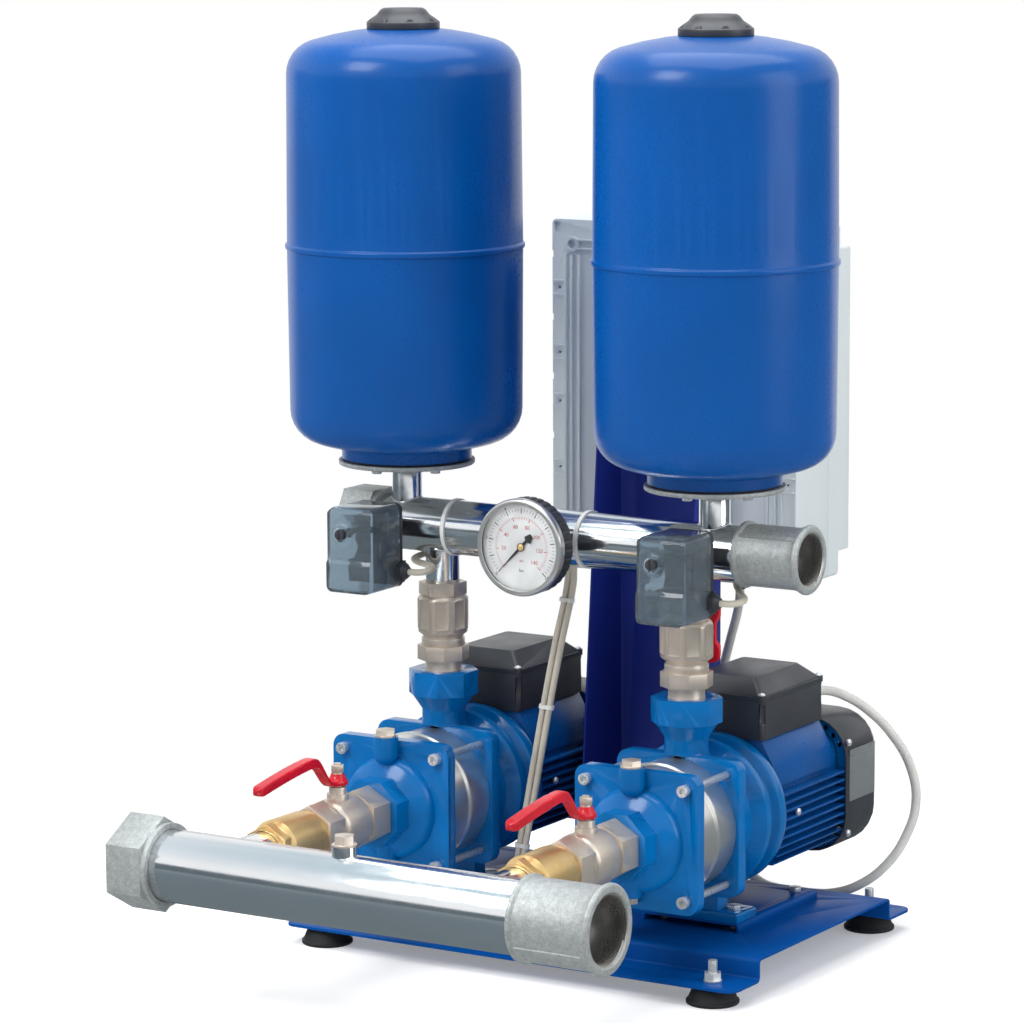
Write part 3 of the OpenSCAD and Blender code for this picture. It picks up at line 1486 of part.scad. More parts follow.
// The four screws that hold the panel to the column
module panel_screws() {
  for (x = sides, z = [0.15, 0.8]) translate([x * (column_w / 2 - 24), panel_y, panel_z + panel_h * z])
    children();
}

hinge_r = 5;
hinge_pin_r = 3;
hinge_h = 18;
hinge_at = [-panel_w / 2 - hinge_r - 1.5, door_y + 1];
hinge_zs = [panel_z + panel_h * 0.18, panel_z + panel_h * 0.78];

// One half of a hinge: its barrel and its leaf
module knuckle(z, leaf_y0, leaf_y1) {
  difference() {
    union() {
      translate([hinge_at[0], hinge_at[1], z]) cylinder(r = hinge_r, h = hinge_h);
      translate([hinge_at[0], leaf_y0, z]) cube([-panel_w / 2 - hinge_at[0] + 1, leaf_y1 - leaf_y0,
        hinge_h]);
    }
    translate([hinge_at[0], hinge_at[1], z - cut])
      cylinder(r = hinge_pin_r + run_gap, h = hinge_h + 2 * cut);
  }
}

back_t = 3;
post_h = 8;
gear_y = panel_y + back_t + panel_t + post_h;

// One side of the panel's back: upright ribs, short ribs and a ring lug
module panel_back_ribs() {
  edge = panel_w / 2;
  rib_w = 3;
  lug = [edge - 27, panel_z + panel_h - 28];
  lug_r = 9;
  y0 = panel_y + 0.5;
  for (x = [18.5, 26, 36]) translate([edge - x - rib_w / 2, y0, panel_z + 6])
    cube([rib_w, back_t, panel_h - 12 - lug_r - 25]);
  for (z = [0.195, 0.38, 0.52, 0.71], pair = sides)
    translate([edge - 17, y0, panel_z + panel_h * (1 - z) + pair * 8 - 1]) cube([15, back_t, 2]);
  translate([lug[0], y0, lug[1]]) rod_y(lug_r, 0, back_t);
  for (z = [-6, 4]) translate([column_w / 2 - 4, y0, lug[1] + z])
    cube([lug[0] - column_w / 2, back_t, 2]);
}
module panel_back_holes() {
  edge = panel_w / 2;
  for (z = [0.195, 0.38, 0.52, 0.71]) translate([edge - 10, 0, panel_z + panel_h * (1 - z)])
    rod_y(1.5, panel_y, panel_y + 2 * back_t, 12);
  for (z = [0.1, 0.28, 0.45, 0.62]) translate([edge + 1, 0, panel_z + panel_h * (1 - z)])
    rod_y(4, panel_y, panel_y + back_t + 2, 24);
  translate([edge - 27, 0, panel_z + panel_h - 28]) rod_y(5, panel_y, panel_y + back_t + 1, 24);
  translate([edge - 11, panel_y, panel_z + panel_h - 15]) cube([8, back_t + 2, 12]);
}

module panel_body() {
  mid_z = panel_z + panel_h / 2;
  corner = 6;
  back = panel_y + back_t;
  color(panel_grey) on_floor() {
    difference() {
      union() {
        up(mid_z) extrude_y(back, panel_y + panel_d)
          polygon(round_rect(panel_w, panel_h, corner));
        // Mounting pad and ribs on the back
        translate([-column_w / 2 + 2, panel_y, panel_z + 20])
          cube([column_w - 4, back_t + 1, panel_h - 40]);
        for (s = [0, 1]) mirror([s, 0, 0]) panel_back_ribs();
        for (z = hinge_zs) knuckle(z, panel_y + panel_d - 6, panel_y + panel_d);
      }
      for (s = [0, 1]) mirror([s, 0, 0]) panel_back_holes();
      up(mid_z) extrude_y(back + panel_t, panel_y + panel_d + cut)
        polygon(round_rect(panel_w - 2 * panel_t, panel_h - 2 * panel_t, corner - 2));
      panel_screws() rod_y(3.2, -cut, 2 * back_t + panel_t);
      for (i = [0:2]) translate([panel_gland_xs[i], panel_gland_y, panel_z])
        rod_z(5, -cut, panel_t + cut);
    }
    gear_posts() difference() {
      rod_y(5, 0, post_h);
      rod_y(2, 2, post_h + cut);
    }
    for (z = hinge_zs) translate([hinge_at[0], hinge_at[1], z])
      cylinder(r = hinge_pin_r, h = 2 * hinge_h + seat_gap);
  }
}

module gear_posts() {
  inset = 28;
  for (x = sides, z = sides) translate([x * (panel_w / 2 - inset), panel_y + back_t + panel_t,
    panel_z + panel_h / 2 + z * (panel_h / 2 - inset)]) children();
}

module panel_door() {
  mid_z = panel_z + panel_h / 2;
  corner = 6;
  raise_h = panel_h - 2 * door_margin;
  color(panel_grey) on_floor() difference() {
    union() {
      up(mid_z) {
        extrude_y(door_y, door_y + door_d) polygon(round_rect(panel_w, panel_h, corner));
        extrude_y(door_y + door_d - 1, door_face_y) polygon(round_rect(panel_w, raise_h, 2));
      }
      for (z = hinge_zs) knuckle(z + hinge_h + seat_gap, door_y, door_y + 7);
    }
    up(mid_z) {
      extrude_y(door_y - cut, door_y + door_d - panel_t)
        polygon(round_rect(panel_w - 2 * panel_t, panel_h - 2 * panel_t, corner - 2));
      extrude_y(door_y - cut, door_face_y - panel_t)
        polygon(round_rect(panel_w - 2 * panel_t, raise_h - 2 * panel_t, 1));
    }
    at_main_switch() rod_y(main_shaft_r + run_gap, -10, 10);
  }
}

main_shaft_r = 4;
module at_main_switch() {
  translate([0, door_face_y, panel_z + panel_h * 0.72]) children();
}

// The main switch handle on the door, with its shaft
module main_switch() {
  knob_r = 24;
  knob_h = main_knob_h;
  grip_w = 14;
  color(lever_red) on_floor() at_main_switch() {
    rod_y(main_shaft_r, -18, knob_h);
    difference() {
      union() {
        lathe_y([[0, seat_gap], [knob_r, seat_gap], [knob_r, knob_h - 3], [knob_r - 3, knob_h],
          [0, knob_h]]);
        translate([-grip_w / 2, knob_h - 2, -knob_r - 6])
          cube([grip_w, main_grip_h + 2, 2 * knob_r + 12]);
      }
      rod_y(main_shaft_r, -cut, knob_h);
    }
  }
}

// Back plate with contactors, a terminal row below and a control block above
module panel_gear() {
  plate_t = 2;
  margin = 16;
  contactor = [45, 42, panel_h * 0.17];
  contactor_pitch = 55;
  terminals = [panel_w * 0.7, 30, panel_h * 0.1];
  control = [panel_w * 0.5, 36, panel_h * 0.15];
  face = gear_y + plate_t;
  color(zinc) on_floor() up(panel_z) {
    translate([margin - panel_w / 2, gear_y, margin])
      cube([panel_w - 2 * margin, plate_t, panel_h - 2 * margin]);
    for (i = [-1:1]) translate([i * contactor_pitch - contactor[0] / 2, face, panel_h * 0.45])
      cube(contactor);
    translate([-terminals[0] / 2, face, panel_h * 0.17]) cube(terminals);
    translate([-control[0] / 2, face, panel_h * 0.72]) cube(control);
  }
}

// Cables: each route runs from one gland to the other

motor_route = [[185, 223, 268], [185, 240, 268], [187, 262, 266], [196, 288, 257], [214, 312, 238],
  [238, 328, 208], [258, 334, 172], [268, 328, 134], [264, 312, 98], [248, 295, 66], [224, 281, 44],
  [195, 272, 32], [160, 268, 28.6], [125, 268, 28.6], [98, 270, 34], [74, 274, 52], [56, 279, 86],
  [42, 283, 135], [35, 285, 190], [35, 285, 235], [42, 285, 271], [53, 285, 312], [61.5, 285, 343],
  [64, 285, 360], [64, 285, 370]];
left_route = [[-171, -58, 418.5], [-160, -58, 418.5], [-149, -53.5, 418.5], [-144.5, -42, 419.5],
  [-149, -31, 421], [-160, -26, 422.5], [-172, -24, 424], [-182, -16, 425], [-187, -3, 425.5],
  [-185, 14, 428], [-174, 28, 436], [-156, 35, 447], [-130, 36, 454], [-100, 35, 456], [-70, 34, 457],
  [-42, 34, 455.5], [-24, 33.5, 448], [-13, 34, 432], [-14, 33, 405], [-24, 24, 340], [-36, 15, 260],
  [-50, 5, 160], [-60, 0, 96], [-68, 4, 68], [-76, 24, 53], [-80, 60, 50], [-80, 130, 50], [-80, 190, 50],
  [-79.5, 222, 58], [-79, 246, 84], [-68, 266, 130], [-53, 281, 210], [-45, 285, 290], [-45, 285, 376]];
right_route = [[219, -58, 418.5], [230, -58, 418.5], [241, -53.5, 418.5], [245.5, -42, 419.5],
  [241, -29, 420.5], [230, -16, 421.5], [218, 0, 423], [206, 17, 428], [192, 29, 439], [174, 35, 450],
  [150, 35, 457], [120, 34, 458.5], [80, 34, 459], [30, 34, 458], [8, 34, 448], [-4, 34, 430],
  [-6, 33, 405],
  [-16, 24, 340], [-28, 15, 260], [-42, 5, 160], [-52, -1, 96], [-60, 3, 68], [-68, 24, 53],
  [-71.4, 60, 50], [-71.4, 130, 50], [-71.4, 190, 50], [-71.2, 222, 58], [-70.6, 246, 84], [-58, 268, 134],
  [-36, 278, 200], [-20, 284, 250], [-15, 285, 300], [-15, 285, 376]];

module motor_cable() {
  color([0.85, 0.85, 0.83]) on_floor() tube(motor_route, motor_cable_r, 12);
}
module switch_cable_left() color([0.86, 0.83, 0.76]) on_floor() tube(left_route, switch_cable_r, 10);
module switch_cable_right() color([0.86, 0.83, 0.76]) on_floor() tube(right_route, switch_cable_r, 10);

base_frame();
pump_plinths();
rubber_feet();
base_fasteners();
suction_covers();
stage_casings();
delivery_casings();
tie_screws();
pipe_plugs();
motor_brackets();
motor_housings();
stators();
shaft_bearings();
fan_covers();
terminal_boxes();
terminal_lids();
cable_glands();
rotor_left();
rotor_right();
suction_manifold();
suction_socket();
hex_caps();
check_valve_bodies();
check_poppet_left();
check_poppet_right();
check_springs();
suction_valve_bodies();
suction_ball_left();
suction_ball_right();
suction_lever_left();
suction_lever_right();
delivery_manifold();
delivery_socket();
delivery_valve_bodies();
delivery_unions();
delivery_ball_left();
delivery_ball_right();
delivery_handle_left();
delivery_handle_right();
tank_lower_shells();
tank_upper_shells();
tank_flanges();
tank_bolts();
tank_caps();
tank_membranes();
gauge_case();
gauge_dial();
gauge_pointer();
gauge_glass();
gauge_bezel();
switch_bases();
switch_covers();
panel_column();
panel_body();
panel_door();
panel_gear();
main_switch();
motor_cable();
switch_cable_left();
switch_cable_right();
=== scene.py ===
"""Looks of a twin-pump water booster set: paint, castings, bright pipes, gauge face and cables."""
import json
import math
from functools import cache

import bmesh
import bpy
from bpy.props import FloatProperty, FloatVectorProperty, IntProperty, PointerProperty
from mathutils import Matrix, Vector


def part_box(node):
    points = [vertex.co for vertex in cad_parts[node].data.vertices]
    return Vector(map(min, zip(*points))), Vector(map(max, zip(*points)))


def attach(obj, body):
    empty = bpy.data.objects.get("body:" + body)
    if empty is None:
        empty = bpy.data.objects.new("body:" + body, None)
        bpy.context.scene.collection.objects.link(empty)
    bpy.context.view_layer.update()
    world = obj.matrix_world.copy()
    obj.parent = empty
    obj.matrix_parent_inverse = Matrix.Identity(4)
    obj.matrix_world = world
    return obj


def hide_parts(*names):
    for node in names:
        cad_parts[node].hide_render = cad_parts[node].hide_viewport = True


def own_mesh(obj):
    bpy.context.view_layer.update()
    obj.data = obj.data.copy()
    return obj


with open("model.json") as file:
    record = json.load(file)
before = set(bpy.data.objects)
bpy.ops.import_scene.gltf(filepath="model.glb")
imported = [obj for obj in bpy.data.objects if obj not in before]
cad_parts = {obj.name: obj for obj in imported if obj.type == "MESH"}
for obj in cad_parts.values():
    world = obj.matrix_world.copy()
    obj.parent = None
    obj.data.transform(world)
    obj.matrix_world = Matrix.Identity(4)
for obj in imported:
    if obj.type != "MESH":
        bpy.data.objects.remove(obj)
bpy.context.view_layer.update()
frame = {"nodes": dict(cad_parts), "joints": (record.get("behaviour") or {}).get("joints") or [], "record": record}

bl_info = {
    "name": "Booster pump set",
    "version": (1, 0, 0),
    "blender": (4, 5, 0),
    "location": "3D View > Sidebar > Booster set",
    "description": "Finishes, cables and small parts of a twin-pump water booster set",
    "category": "Object",
}

MM = 0.001

# Places that the frame gives
JOINTS = {joint["name"]: joint for joint in frame["joints"]}
BODY_OF = {n: body for body, nodes in frame["record"]["behaviour"]["bodies"].items() for n in nodes}
SET = BODY_OF["base_frame"]
PUMPS = [Vector(JOINTS["pump_shaft_" + side]["pos_m"]) for side in ("left", "right")]


def middle(node):
    """Middle of a CAD node's box."""
    low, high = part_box(node)
    return (low + high) / 2


DELIVERY = middle("delivery_socket")
SUCTION = middle("suction_socket")
GAUGE = middle("gauge_bezel")
# The cable routes are measured from the floor under the delivery line, midway between the pumps
ROUTE_ORIGIN = Vector(((PUMPS[0].x + PUMPS[1].x) / 2, DELIVERY.y, 0))

# The photograph's camera: angles in degrees, lengths in metres
CAMERA_AZIMUTH = 31.73
CAMERA_ELEVATION = 8.94
CAMERA_ROLL = -0.28
CAMERA_DISTANCE = 4.6841
CAMERA_TARGET = ROUTE_ORIGIN + Vector((-0.06439, 0, 0.48543))
CAMERA_LENS = 150.49
SENSOR_WIDTH = 36.0

# Cable routes from gland to gland, in metres from the route origin
MOTOR_ROUTE = [
    (0.185, 0.223, 0.268), (0.185, 0.240, 0.268), (0.187, 0.262, 0.266), (0.196, 0.288, 0.257),
    (0.214, 0.312, 0.238), (0.238, 0.328, 0.208), (0.258, 0.334, 0.172), (0.268, 0.328, 0.134),
    (0.264, 0.312, 0.098), (0.248, 0.295, 0.066), (0.224, 0.281, 0.044), (0.195, 0.272, 0.032),
    (0.160, 0.268, 0.0286), (0.125, 0.268, 0.0286), (0.098, 0.270, 0.034), (0.074, 0.274, 0.052),
    (0.056, 0.279, 0.086), (0.042, 0.283, 0.135), (0.035, 0.285, 0.190), (0.035, 0.285, 0.235),
    (0.042, 0.285, 0.271), (0.053, 0.285, 0.312), (0.0615, 0.285, 0.343), (0.064, 0.285, 0.360),
    (0.064, 0.285, 0.370),
]
LEFT_ROUTE = [
    (-0.171, -0.058, 0.4185), (-0.160, -0.058, 0.4185), (-0.149, -0.0535, 0.4185), (-0.1445, -0.042, 0.4195),
    (-0.149, -0.031, 0.421), (-0.160, -0.026, 0.4225), (-0.172, -0.024, 0.424), (-0.182, -0.016, 0.425),
    (-0.187, -0.003, 0.4255), (-0.185, 0.014, 0.428), (-0.174, 0.028, 0.436), (-0.156, 0.035, 0.447),
    (-0.130, 0.036, 0.454), (-0.100, 0.035, 0.456), (-0.070, 0.034, 0.457), (-0.042, 0.034, 0.4555),
    (-0.024, 0.0335, 0.448), (-0.013, 0.034, 0.432), (-0.014, 0.033, 0.405), (-0.024, 0.024, 0.340),
    (-0.036, 0.015, 0.260), (-0.050, 0.005, 0.160), (-0.060, 0.000, 0.096), (-0.068, 0.004, 0.068),
    (-0.076, 0.024, 0.053), (-0.080, 0.060, 0.050), (-0.080, 0.130, 0.050), (-0.080, 0.190, 0.050),
    (-0.0795, 0.222, 0.058), (-0.079, 0.246, 0.084), (-0.068, 0.266, 0.130), (-0.053, 0.281, 0.210),
    (-0.045, 0.285, 0.290), (-0.045, 0.285, 0.376),
]
RIGHT_ROUTE = [
    (0.219, -0.058, 0.4185), (0.230, -0.058, 0.4185), (0.241, -0.0535, 0.4185), (0.2455, -0.042, 0.4195),
    (0.241, -0.029, 0.4205), (0.230, -0.016, 0.4215), (0.218, 0.000, 0.423), (0.206, 0.017, 0.428),
    (0.192, 0.029, 0.439), (0.174, 0.035, 0.450), (0.150, 0.035, 0.457), (0.120, 0.034, 0.4585),
    (0.080, 0.034, 0.459), (0.030, 0.034, 0.458), (0.008, 0.034, 0.448), (-0.004, 0.034, 0.430),
    (-0.006, 0.033, 0.405), (-0.016, 0.024, 0.340), (-0.028, 0.015, 0.260), (-0.042, 0.005, 0.160),
    (-0.052, -0.001, 0.096), (-0.060, 0.003, 0.068), (-0.068, 0.024, 0.053), (-0.0714, 0.060, 0.050),
    (-0.0714, 0.130, 0.050), (-0.0714, 0.190, 0.050), (-0.0712, 0.222, 0.058), (-0.0706, 0.246, 0.084),
    (-0.058, 0.268, 0.134), (-0.036, 0.278, 0.200), (-0.020, 0.284, 0.250), (-0.015, 0.285, 0.300),
    (-0.015, 0.285, 0.376),
]
# Where both switch cables fall side by side
LEFT_DROP = LEFT_ROUTE[17:24]
RIGHT_DROP = RIGHT_ROUTE[15:22]


def colour(label, default):
    """A colour that a user may change."""
    return FloatVectorProperty(name=label, description=label + " of the set", subtype="COLOR",
                               size=3, min=0, max=1, default=default)


def length(label, default):
    """A length in metres that a user may change."""
    return FloatProperty(name=label, description=label + ", in metres", subtype="DISTANCE",
                         unit="LENGTH", min=0, default=default, precision=4)


class BoosterColours(bpy.types.PropertyGroup):
    """Colours of the finishes."""
    tank: colour("Tank paint", (0.0, 0.080, 0.335))
    base: colour("Base paint", (0.0, 0.072, 0.32))
    # The base paint darkened and turned violet: painted shade on the column
    column: colour("Shaded column paint", (0.014, 0.030, 0.25))
    pump: colour("Pump paint", (0.0, 0.146, 0.445))
    motor: colour("Motor paint", (0.0, 0.078, 0.30))
    lever: colour("Lever coating", (0.62, 0.008, 0.022))
    panel: colour("Panel moulding", (0.62, 0.68, 0.70))
    plastic: colour("Black plastic", (0.037, 0.039, 0.047))
    motor_cable: colour("Motor cable sheath", (0.66, 0.66, 0.63))
    switch_cable: colour("Switch cable sheath", (0.60, 0.56, 0.47))


class BoosterSizes(bpy.types.PropertyGroup):
    """Sizes of the small pieces."""
    motor_cable: length("Motor cable diameter", 0.0105)
    switch_cable: length("Switch cable diameter", 0.0072)
    tie_width: length("Cable tie width", 0.0046)
    tie_thickness: length("Cable tie thickness", 0.0013)
    edge: length("Rounding of moulded and cast edges", 0.0008)
    thread_pitch: length("Pitch of the socket threads", 0.0023)
    thread_depth: length("Depth of the socket threads", 0.0011)
    weld: length("Radius of a weld bead", 0.0013)
    lid_screw: length("Head radius of a lid screw", 0.0042)
    scale_steps: IntProperty(name="Gauge steps", description="Main steps of the gauge scale",
                             min=2, default=10)


def colours():
    """The set's colours."""
    return bpy.context.scene.booster_colours


def sizes():
    """The set's sizes."""
    return bpy.context.scene.booster_sizes


# Node trees

def add(tree, kind, inputs=None, **settings):
    """Adds a node, sets its settings and its inputs, and links those that are sockets."""
    node = tree.nodes.new(kind)
    for key, value in settings.items():
        setattr(node, key, value)
    for key, value in (inputs or {}).items():
        if isinstance(value, bpy.types.NodeSocket):
            tree.links.new(value, node.inputs[key])
        else:
            node.inputs[key].default_value = value
    return node


def maths(tree, operation, *values):
    """The result of a sum in a node tree."""
    return add(tree, "ShaderNodeMath", dict(enumerate(values)), operation=operation).outputs[0]


def node_group(name, kind, inputs, outputs):
    """A node group with named inputs and outputs, and its two end nodes."""
    tree = bpy.data.node_groups.new(name, kind)
    for label, (socket, default) in inputs.items():
        made = tree.interface.new_socket(label, in_out="INPUT", socket_type=socket)
        if default is not None:
            made.default_value = default
    for label, socket in outputs.items():
        tree.interface.new_socket(label, in_out="OUTPUT", socket_type=socket)
    return tree, tree.nodes.new("NodeGroupInput"), tree.nodes.new("NodeGroupOutput")


FLOAT, INTEGER, VECTOR = "NodeSocketFloat", "NodeSocketInt", "NodeSocketVector"
COLOUR, GEOMETRY, MATERIAL = "NodeSocketColor", "NodeSocketGeometry", "NodeSocketMaterial"


@cache
def surface_group():
    """Drifting colour, uneven gloss and fine grain of any finish."""
    tree, given, result = node_group("Surface variation", "ShaderNodeTree", {
        "Stretch": (VECTOR, (1, 1, 1)), "Colour": (COLOUR, (0.5, 0.5, 0.5, 1)),
        "Second colour": (COLOUR, (0.4, 0.4, 0.4, 1)), "Patch scale": (FLOAT, 8.0),
        "Grain scale": (FLOAT, 400.0), "Low roughness": (FLOAT, 0.2), "High roughness": (FLOAT, 0.3),
    }, {"Colour": COLOUR, "Roughness": FLOAT, "Height": FLOAT})
    place = add(tree, "ShaderNodeTexCoord").outputs["Object"]
    spread = add(tree, "ShaderNodeVectorMath", {0: place, 1: given.outputs["Stretch"]},
                 operation="MULTIPLY").outputs[0]
    patch = add(tree, "ShaderNodeTexNoise", {"Vector": spread, "Scale": given.outputs["Patch scale"],
                                             "Detail": 4.0}).outputs["Fac"]
    grain = add(tree, "ShaderNodeTexNoise", {"Vector": spread, "Scale": given.outputs["Grain scale"],
                                             "Detail": 3.0}).outputs["Fac"]
    share = add(tree, "ShaderNodeMapRange", {"Value": patch, "From Min": 0.35, "From Max": 0.65}).outputs[0]
    mixed = add(tree, "ShaderNodeMix", {0: share, 6: given.outputs["Colour"],
                                        7: given.outputs["Second colour"]}, data_type="RGBA").outputs[2]
    both = maths(tree, "ADD", patch, grain)
    rough = add(tree, "ShaderNodeMapRange", {"Value": both, "From Min": 0.7, "From Max": 1.3,
                                             "To Min": given.outputs["Low roughness"],
                                             "To Max": given.outputs["High roughness"]}).outputs[0]
    tree.links.new(mixed, result.inputs["Colour"])
    tree.links.new(rough, result.inputs["Roughness"])
    tree.links.new(grain, result.inputs["Height"])
    return tree


@cache
def spangle_group():
    """Crystals of hot-dip zinc: cells of slightly different brightness."""
    tree, given, result = node_group("Zinc spangle", "ShaderNodeTree", {
        "Colour": (COLOUR, (0.5, 0.5, 0.5, 1)), "Cell scale": (FLOAT, 520.0), "Depth": (FLOAT, 0.3),
    }, {"Colour": COLOUR})
    place = add(tree, "ShaderNodeTexCoord").outputs["Object"]
    cells = add(tree, "ShaderNodeTexVoronoi", {"Vector": place, "Scale": given.outputs["Cell scale"]})
    grey = add(tree, "ShaderNodeRGBToBW", {0: cells.outputs["Color"]}).outputs[0]
    darker = maths(tree, "MULTIPLY", grey, given.outputs["Depth"])
    shade = maths(tree, "SUBTRACT", 1.0, darker)
    mixed = add(tree, "ShaderNodeVectorMath", {0: given.outputs["Colour"], 1: shade},
                operation="MULTIPLY").outputs[0]
    tree.links.new(mixed, result.inputs["Colour"])
    return tree


def rgba(rgb, gain=1.0):
    """A colour with full alpha, made darker or lighter."""
    return (*(min(1.0, c * gain) for c in rgb), 1.0)


def finish(name, rgb, rough, second=None, patch=9.0, grain=400.0, stretch=(1, 1, 1), bump=0.1,
           bump_depth=0.0004, spangle=0.0, **shader):
    """A procedural material: surface variation feeds the shader, plain numbers go on its sockets."""
    made = bpy.data.materials.new(name)
    made.use_nodes = True
    tree = made.node_tree
    bsdf = tree.nodes["Principled BSDF"]
    first = rgba(rgb)
    other = rgba(second) if second else rgba(rgb, 0.82)
    surface = add(tree, "ShaderNodeGroup", node_tree=surface_group())
    values = {"Stretch": stretch, "Colour": first, "Second colour": other, "Patch scale": patch,
              "Grain scale": grain, "Low roughness": rough[0], "High roughness": rough[1]}
    for label, value in values.items():
        surface.inputs[label].default_value = value
    shown = surface.outputs["Colour"]
    if spangle:
        crystals = add(tree, "ShaderNodeGroup", node_tree=spangle_group())
        tree.links.new(shown, crystals.inputs["Colour"])
        crystals.inputs["Depth"].default_value = spangle
        shown = crystals.outputs["Colour"]
    tree.links.new(shown, bsdf.inputs["Base Color"])
    tree.links.new(surface.outputs["Roughness"], bsdf.inputs["Roughness"])
    if bump:
        relief = add(tree, "ShaderNodeBump", {"Strength": bump, "Distance": bump_depth,
                                              "Height": surface.outputs["Height"]})
        tree.links.new(relief.outputs[0], bsdf.inputs["Normal"])
    for label, value in shader.items():
        bsdf.inputs[label.replace("_", " ").title().replace("Ior", "IOR")].default_value = value
    return made


def finishes():
    """Every finish of the set, made once."""
    c = colours()
    return {
        "tank_paint": finish("Tank enamel", c.tank, (0.26, 0.32), patch=5, grain=240, bump=0,
                             specular_ior_level=0.25, coat_weight=0.06, coat_roughness=0.04),
        "base_paint": finish("Base powder coat", c.base, (0.32, 0.42), patch=7, grain=500, bump=0.04,
                             specular_ior_level=0.06),
        # The column's finish is the base paint darkened, as painted shade
        "column_shaded_paint": finish("Shaded column powder coat", c.column, (0.28, 0.38), patch=6, grain=500, bump=0.06,
                               specular_ior_level=0.25),
        "pump_paint": finish("Casting enamel", c.pump, (0.17, 0.27), patch=22, grain=330, bump=0.16,
                             bump_depth=0.0007, specular_ior_level=0.12, coat_weight=0.4, coat_roughness=0.16),
        "motor_paint": finish("Motor enamel", c.motor, (0.25, 0.38), patch=20, grain=420, bump=0.2,
                              specular_ior_level=0.3),
        "black_plastic": finish("Moulded black plastic", c.plastic, (0.34, 0.48), patch=30, grain=1500,
                                bump=0.16, bump_depth=0.0002),
        "black_sheet": finish("Black fan cover", c.plastic, (0.30, 0.42), patch=25, grain=900, bump=0.12),
        "rubber": finish("Moulded rubber", (0.014, 0.014, 0.015), (0.62, 0.8), patch=40, grain=900, bump=0.3),
        "zinc": finish("Bright zinc plate", (0.78, 0.80, 0.82), (0.24, 0.34), second=(0.68, 0.70, 0.71),
                       patch=60, grain=900, bump=0.03, metallic=0.7),
        "bright_pipe": finish("Bright plated pipe", (0.86, 0.88, 0.90), (0.10, 0.20),
                              second=(0.78, 0.80, 0.82), patch=14, grain=160, stretch=(0.25, 1, 1),
                              bump=0.03, metallic=1.0),
        "galvanised": finish("Galvanised malleable iron", (0.53, 0.56, 0.55), (0.42, 0.56),
                             second=(0.45, 0.475, 0.47), patch=150, grain=900, bump=0.55,
                             bump_depth=0.0008, spangle=0.28, metallic=0.5),
        "stainless": finish("Rolled stainless steel", (0.84, 0.82, 0.79), (0.28, 0.30), patch=16, grain=300,
                            stretch=(1, 0.08, 1), bump=0, metallic=0.9),
        "nickel": finish("Nickel plated brass", (0.70, 0.615, 0.53), (0.32, 0.46), second=(0.62, 0.54, 0.46),
                         patch=40, grain=700, bump=0.25, metallic=0.72),
        "brass": finish("Cast brass", (0.76, 0.54, 0.25), (0.30, 0.44), second=(0.68, 0.46, 0.19),
                        patch=35, grain=650, bump=0.2, metallic=0.75),
        "red_coat": finish("Red dipped coating", c.lever, (0.20, 0.28), patch=50, grain=380, bump=0.03,
                           specular_ior_level=0.3, coat_weight=0.12, coat_roughness=0.08),
        "panel_grey": finish("Grey moulding", c.panel, (0.42, 0.55), second=tuple(0.94 * v for v in c.panel),
                             patch=6, grain=1400, bump=0.08, bump_depth=0.0002),
        "smoked": finish("Smoked clear plastic", (0.53, 0.63, 0.70), (0.04, 0.07),
                         second=(0.44, 0.53, 0.60), patch=9, grain=300, bump=0, transmission_weight=0.90, ior=1.4),
        "clear": finish("Gauge glass", (0.97, 0.98, 0.98), (0.0, 0.01), patch=20, grain=300, bump=0,
                        transmission_weight=1.0, ior=1.25),
        "dial": finish("White dial", (0.93, 0.93, 0.94), (0.4, 0.5), second=(0.90, 0.90, 0.91), patch=30,
                       grain=2000, bump=0.02),
        "pointer": finish("Black pointer", (0.01, 0.01, 0.012), (0.35, 0.45), patch=40, grain=2000, bump=0.03),
        "copper": finish("Windings", (0.50, 0.24, 0.12), (0.3, 0.45), patch=30, grain=700, bump=0.2,
                         metallic=0.7),
        "grey_cable": finish("Motor cable sheath", c.motor_cable, (0.36, 0.48), patch=25, grain=900, bump=0.08),
        "beige_cable": finish("Switch cable sheath", c.switch_cable, (0.38, 0.5), patch=25, grain=900,
                              bump=0.08),
        "tie": finish("Natural nylon", (0.80, 0.80, 0.78), (0.35, 0.45), patch=30, grain=900, bump=0.05),
        "print_black": finish("Black print", (0.015, 0.015, 0.02), (0.5, 0.6), patch=30, grain=900, bump=0),
        "print_red": finish("Red print", (0.65, 0.05, 0.05), (0.5, 0.6), patch=30, grain=900, bump=0),
        "plate": finish("Bare rating plate", (0.62, 0.63, 0.63), (0.25, 0.38), patch=18, grain=700,
                        stretch=(1, 0.1, 1), bump=0.05, metallic=0.9),
        "thread": finish("Cut thread", (0.44, 0.42, 0.40), (0.25, 0.4), patch=50, grain=600, bump=0.1,
                         metallic=0.8),
    }


FINISH = {}


# Shading of the solids: faces are joined, flat ones merged, edges rounded and smoothed by their angle

SHARP_ANGLE = math.radians(34)
FLAT_ANGLE = math.radians(0.6)
JOIN_DISTANCE = 1e-5


@cache
def smoothing_tree():
    """Smooth shading up to a sharp angle."""
    tree, given, result = node_group("Smooth by angle", "GeometryNodeTree", {
        "Geometry": (GEOMETRY, None), "Angle": (FLOAT, SHARP_ANGLE)}, {"Geometry": GEOMETRY})
    faces = add(tree, "GeometryNodeSetShadeSmooth", {"Geometry": given.outputs["Geometry"]}, domain="FACE")
    angle = add(tree, "GeometryNodeInputMeshEdgeAngle").outputs["Unsigned Angle"]
    soft = add(tree, "FunctionNodeCompare", {0: angle, 1: given.outputs["Angle"]},
               data_type="FLOAT", operation="LESS_EQUAL").outputs[0]
    edges = add(tree, "GeometryNodeSetShadeSmooth", {"Geometry": faces.outputs[0], "Shade Smooth": soft},
                domain="EDGE")
    tree.links.new(edges.outputs[0], result.inputs["Geometry"])
    return tree


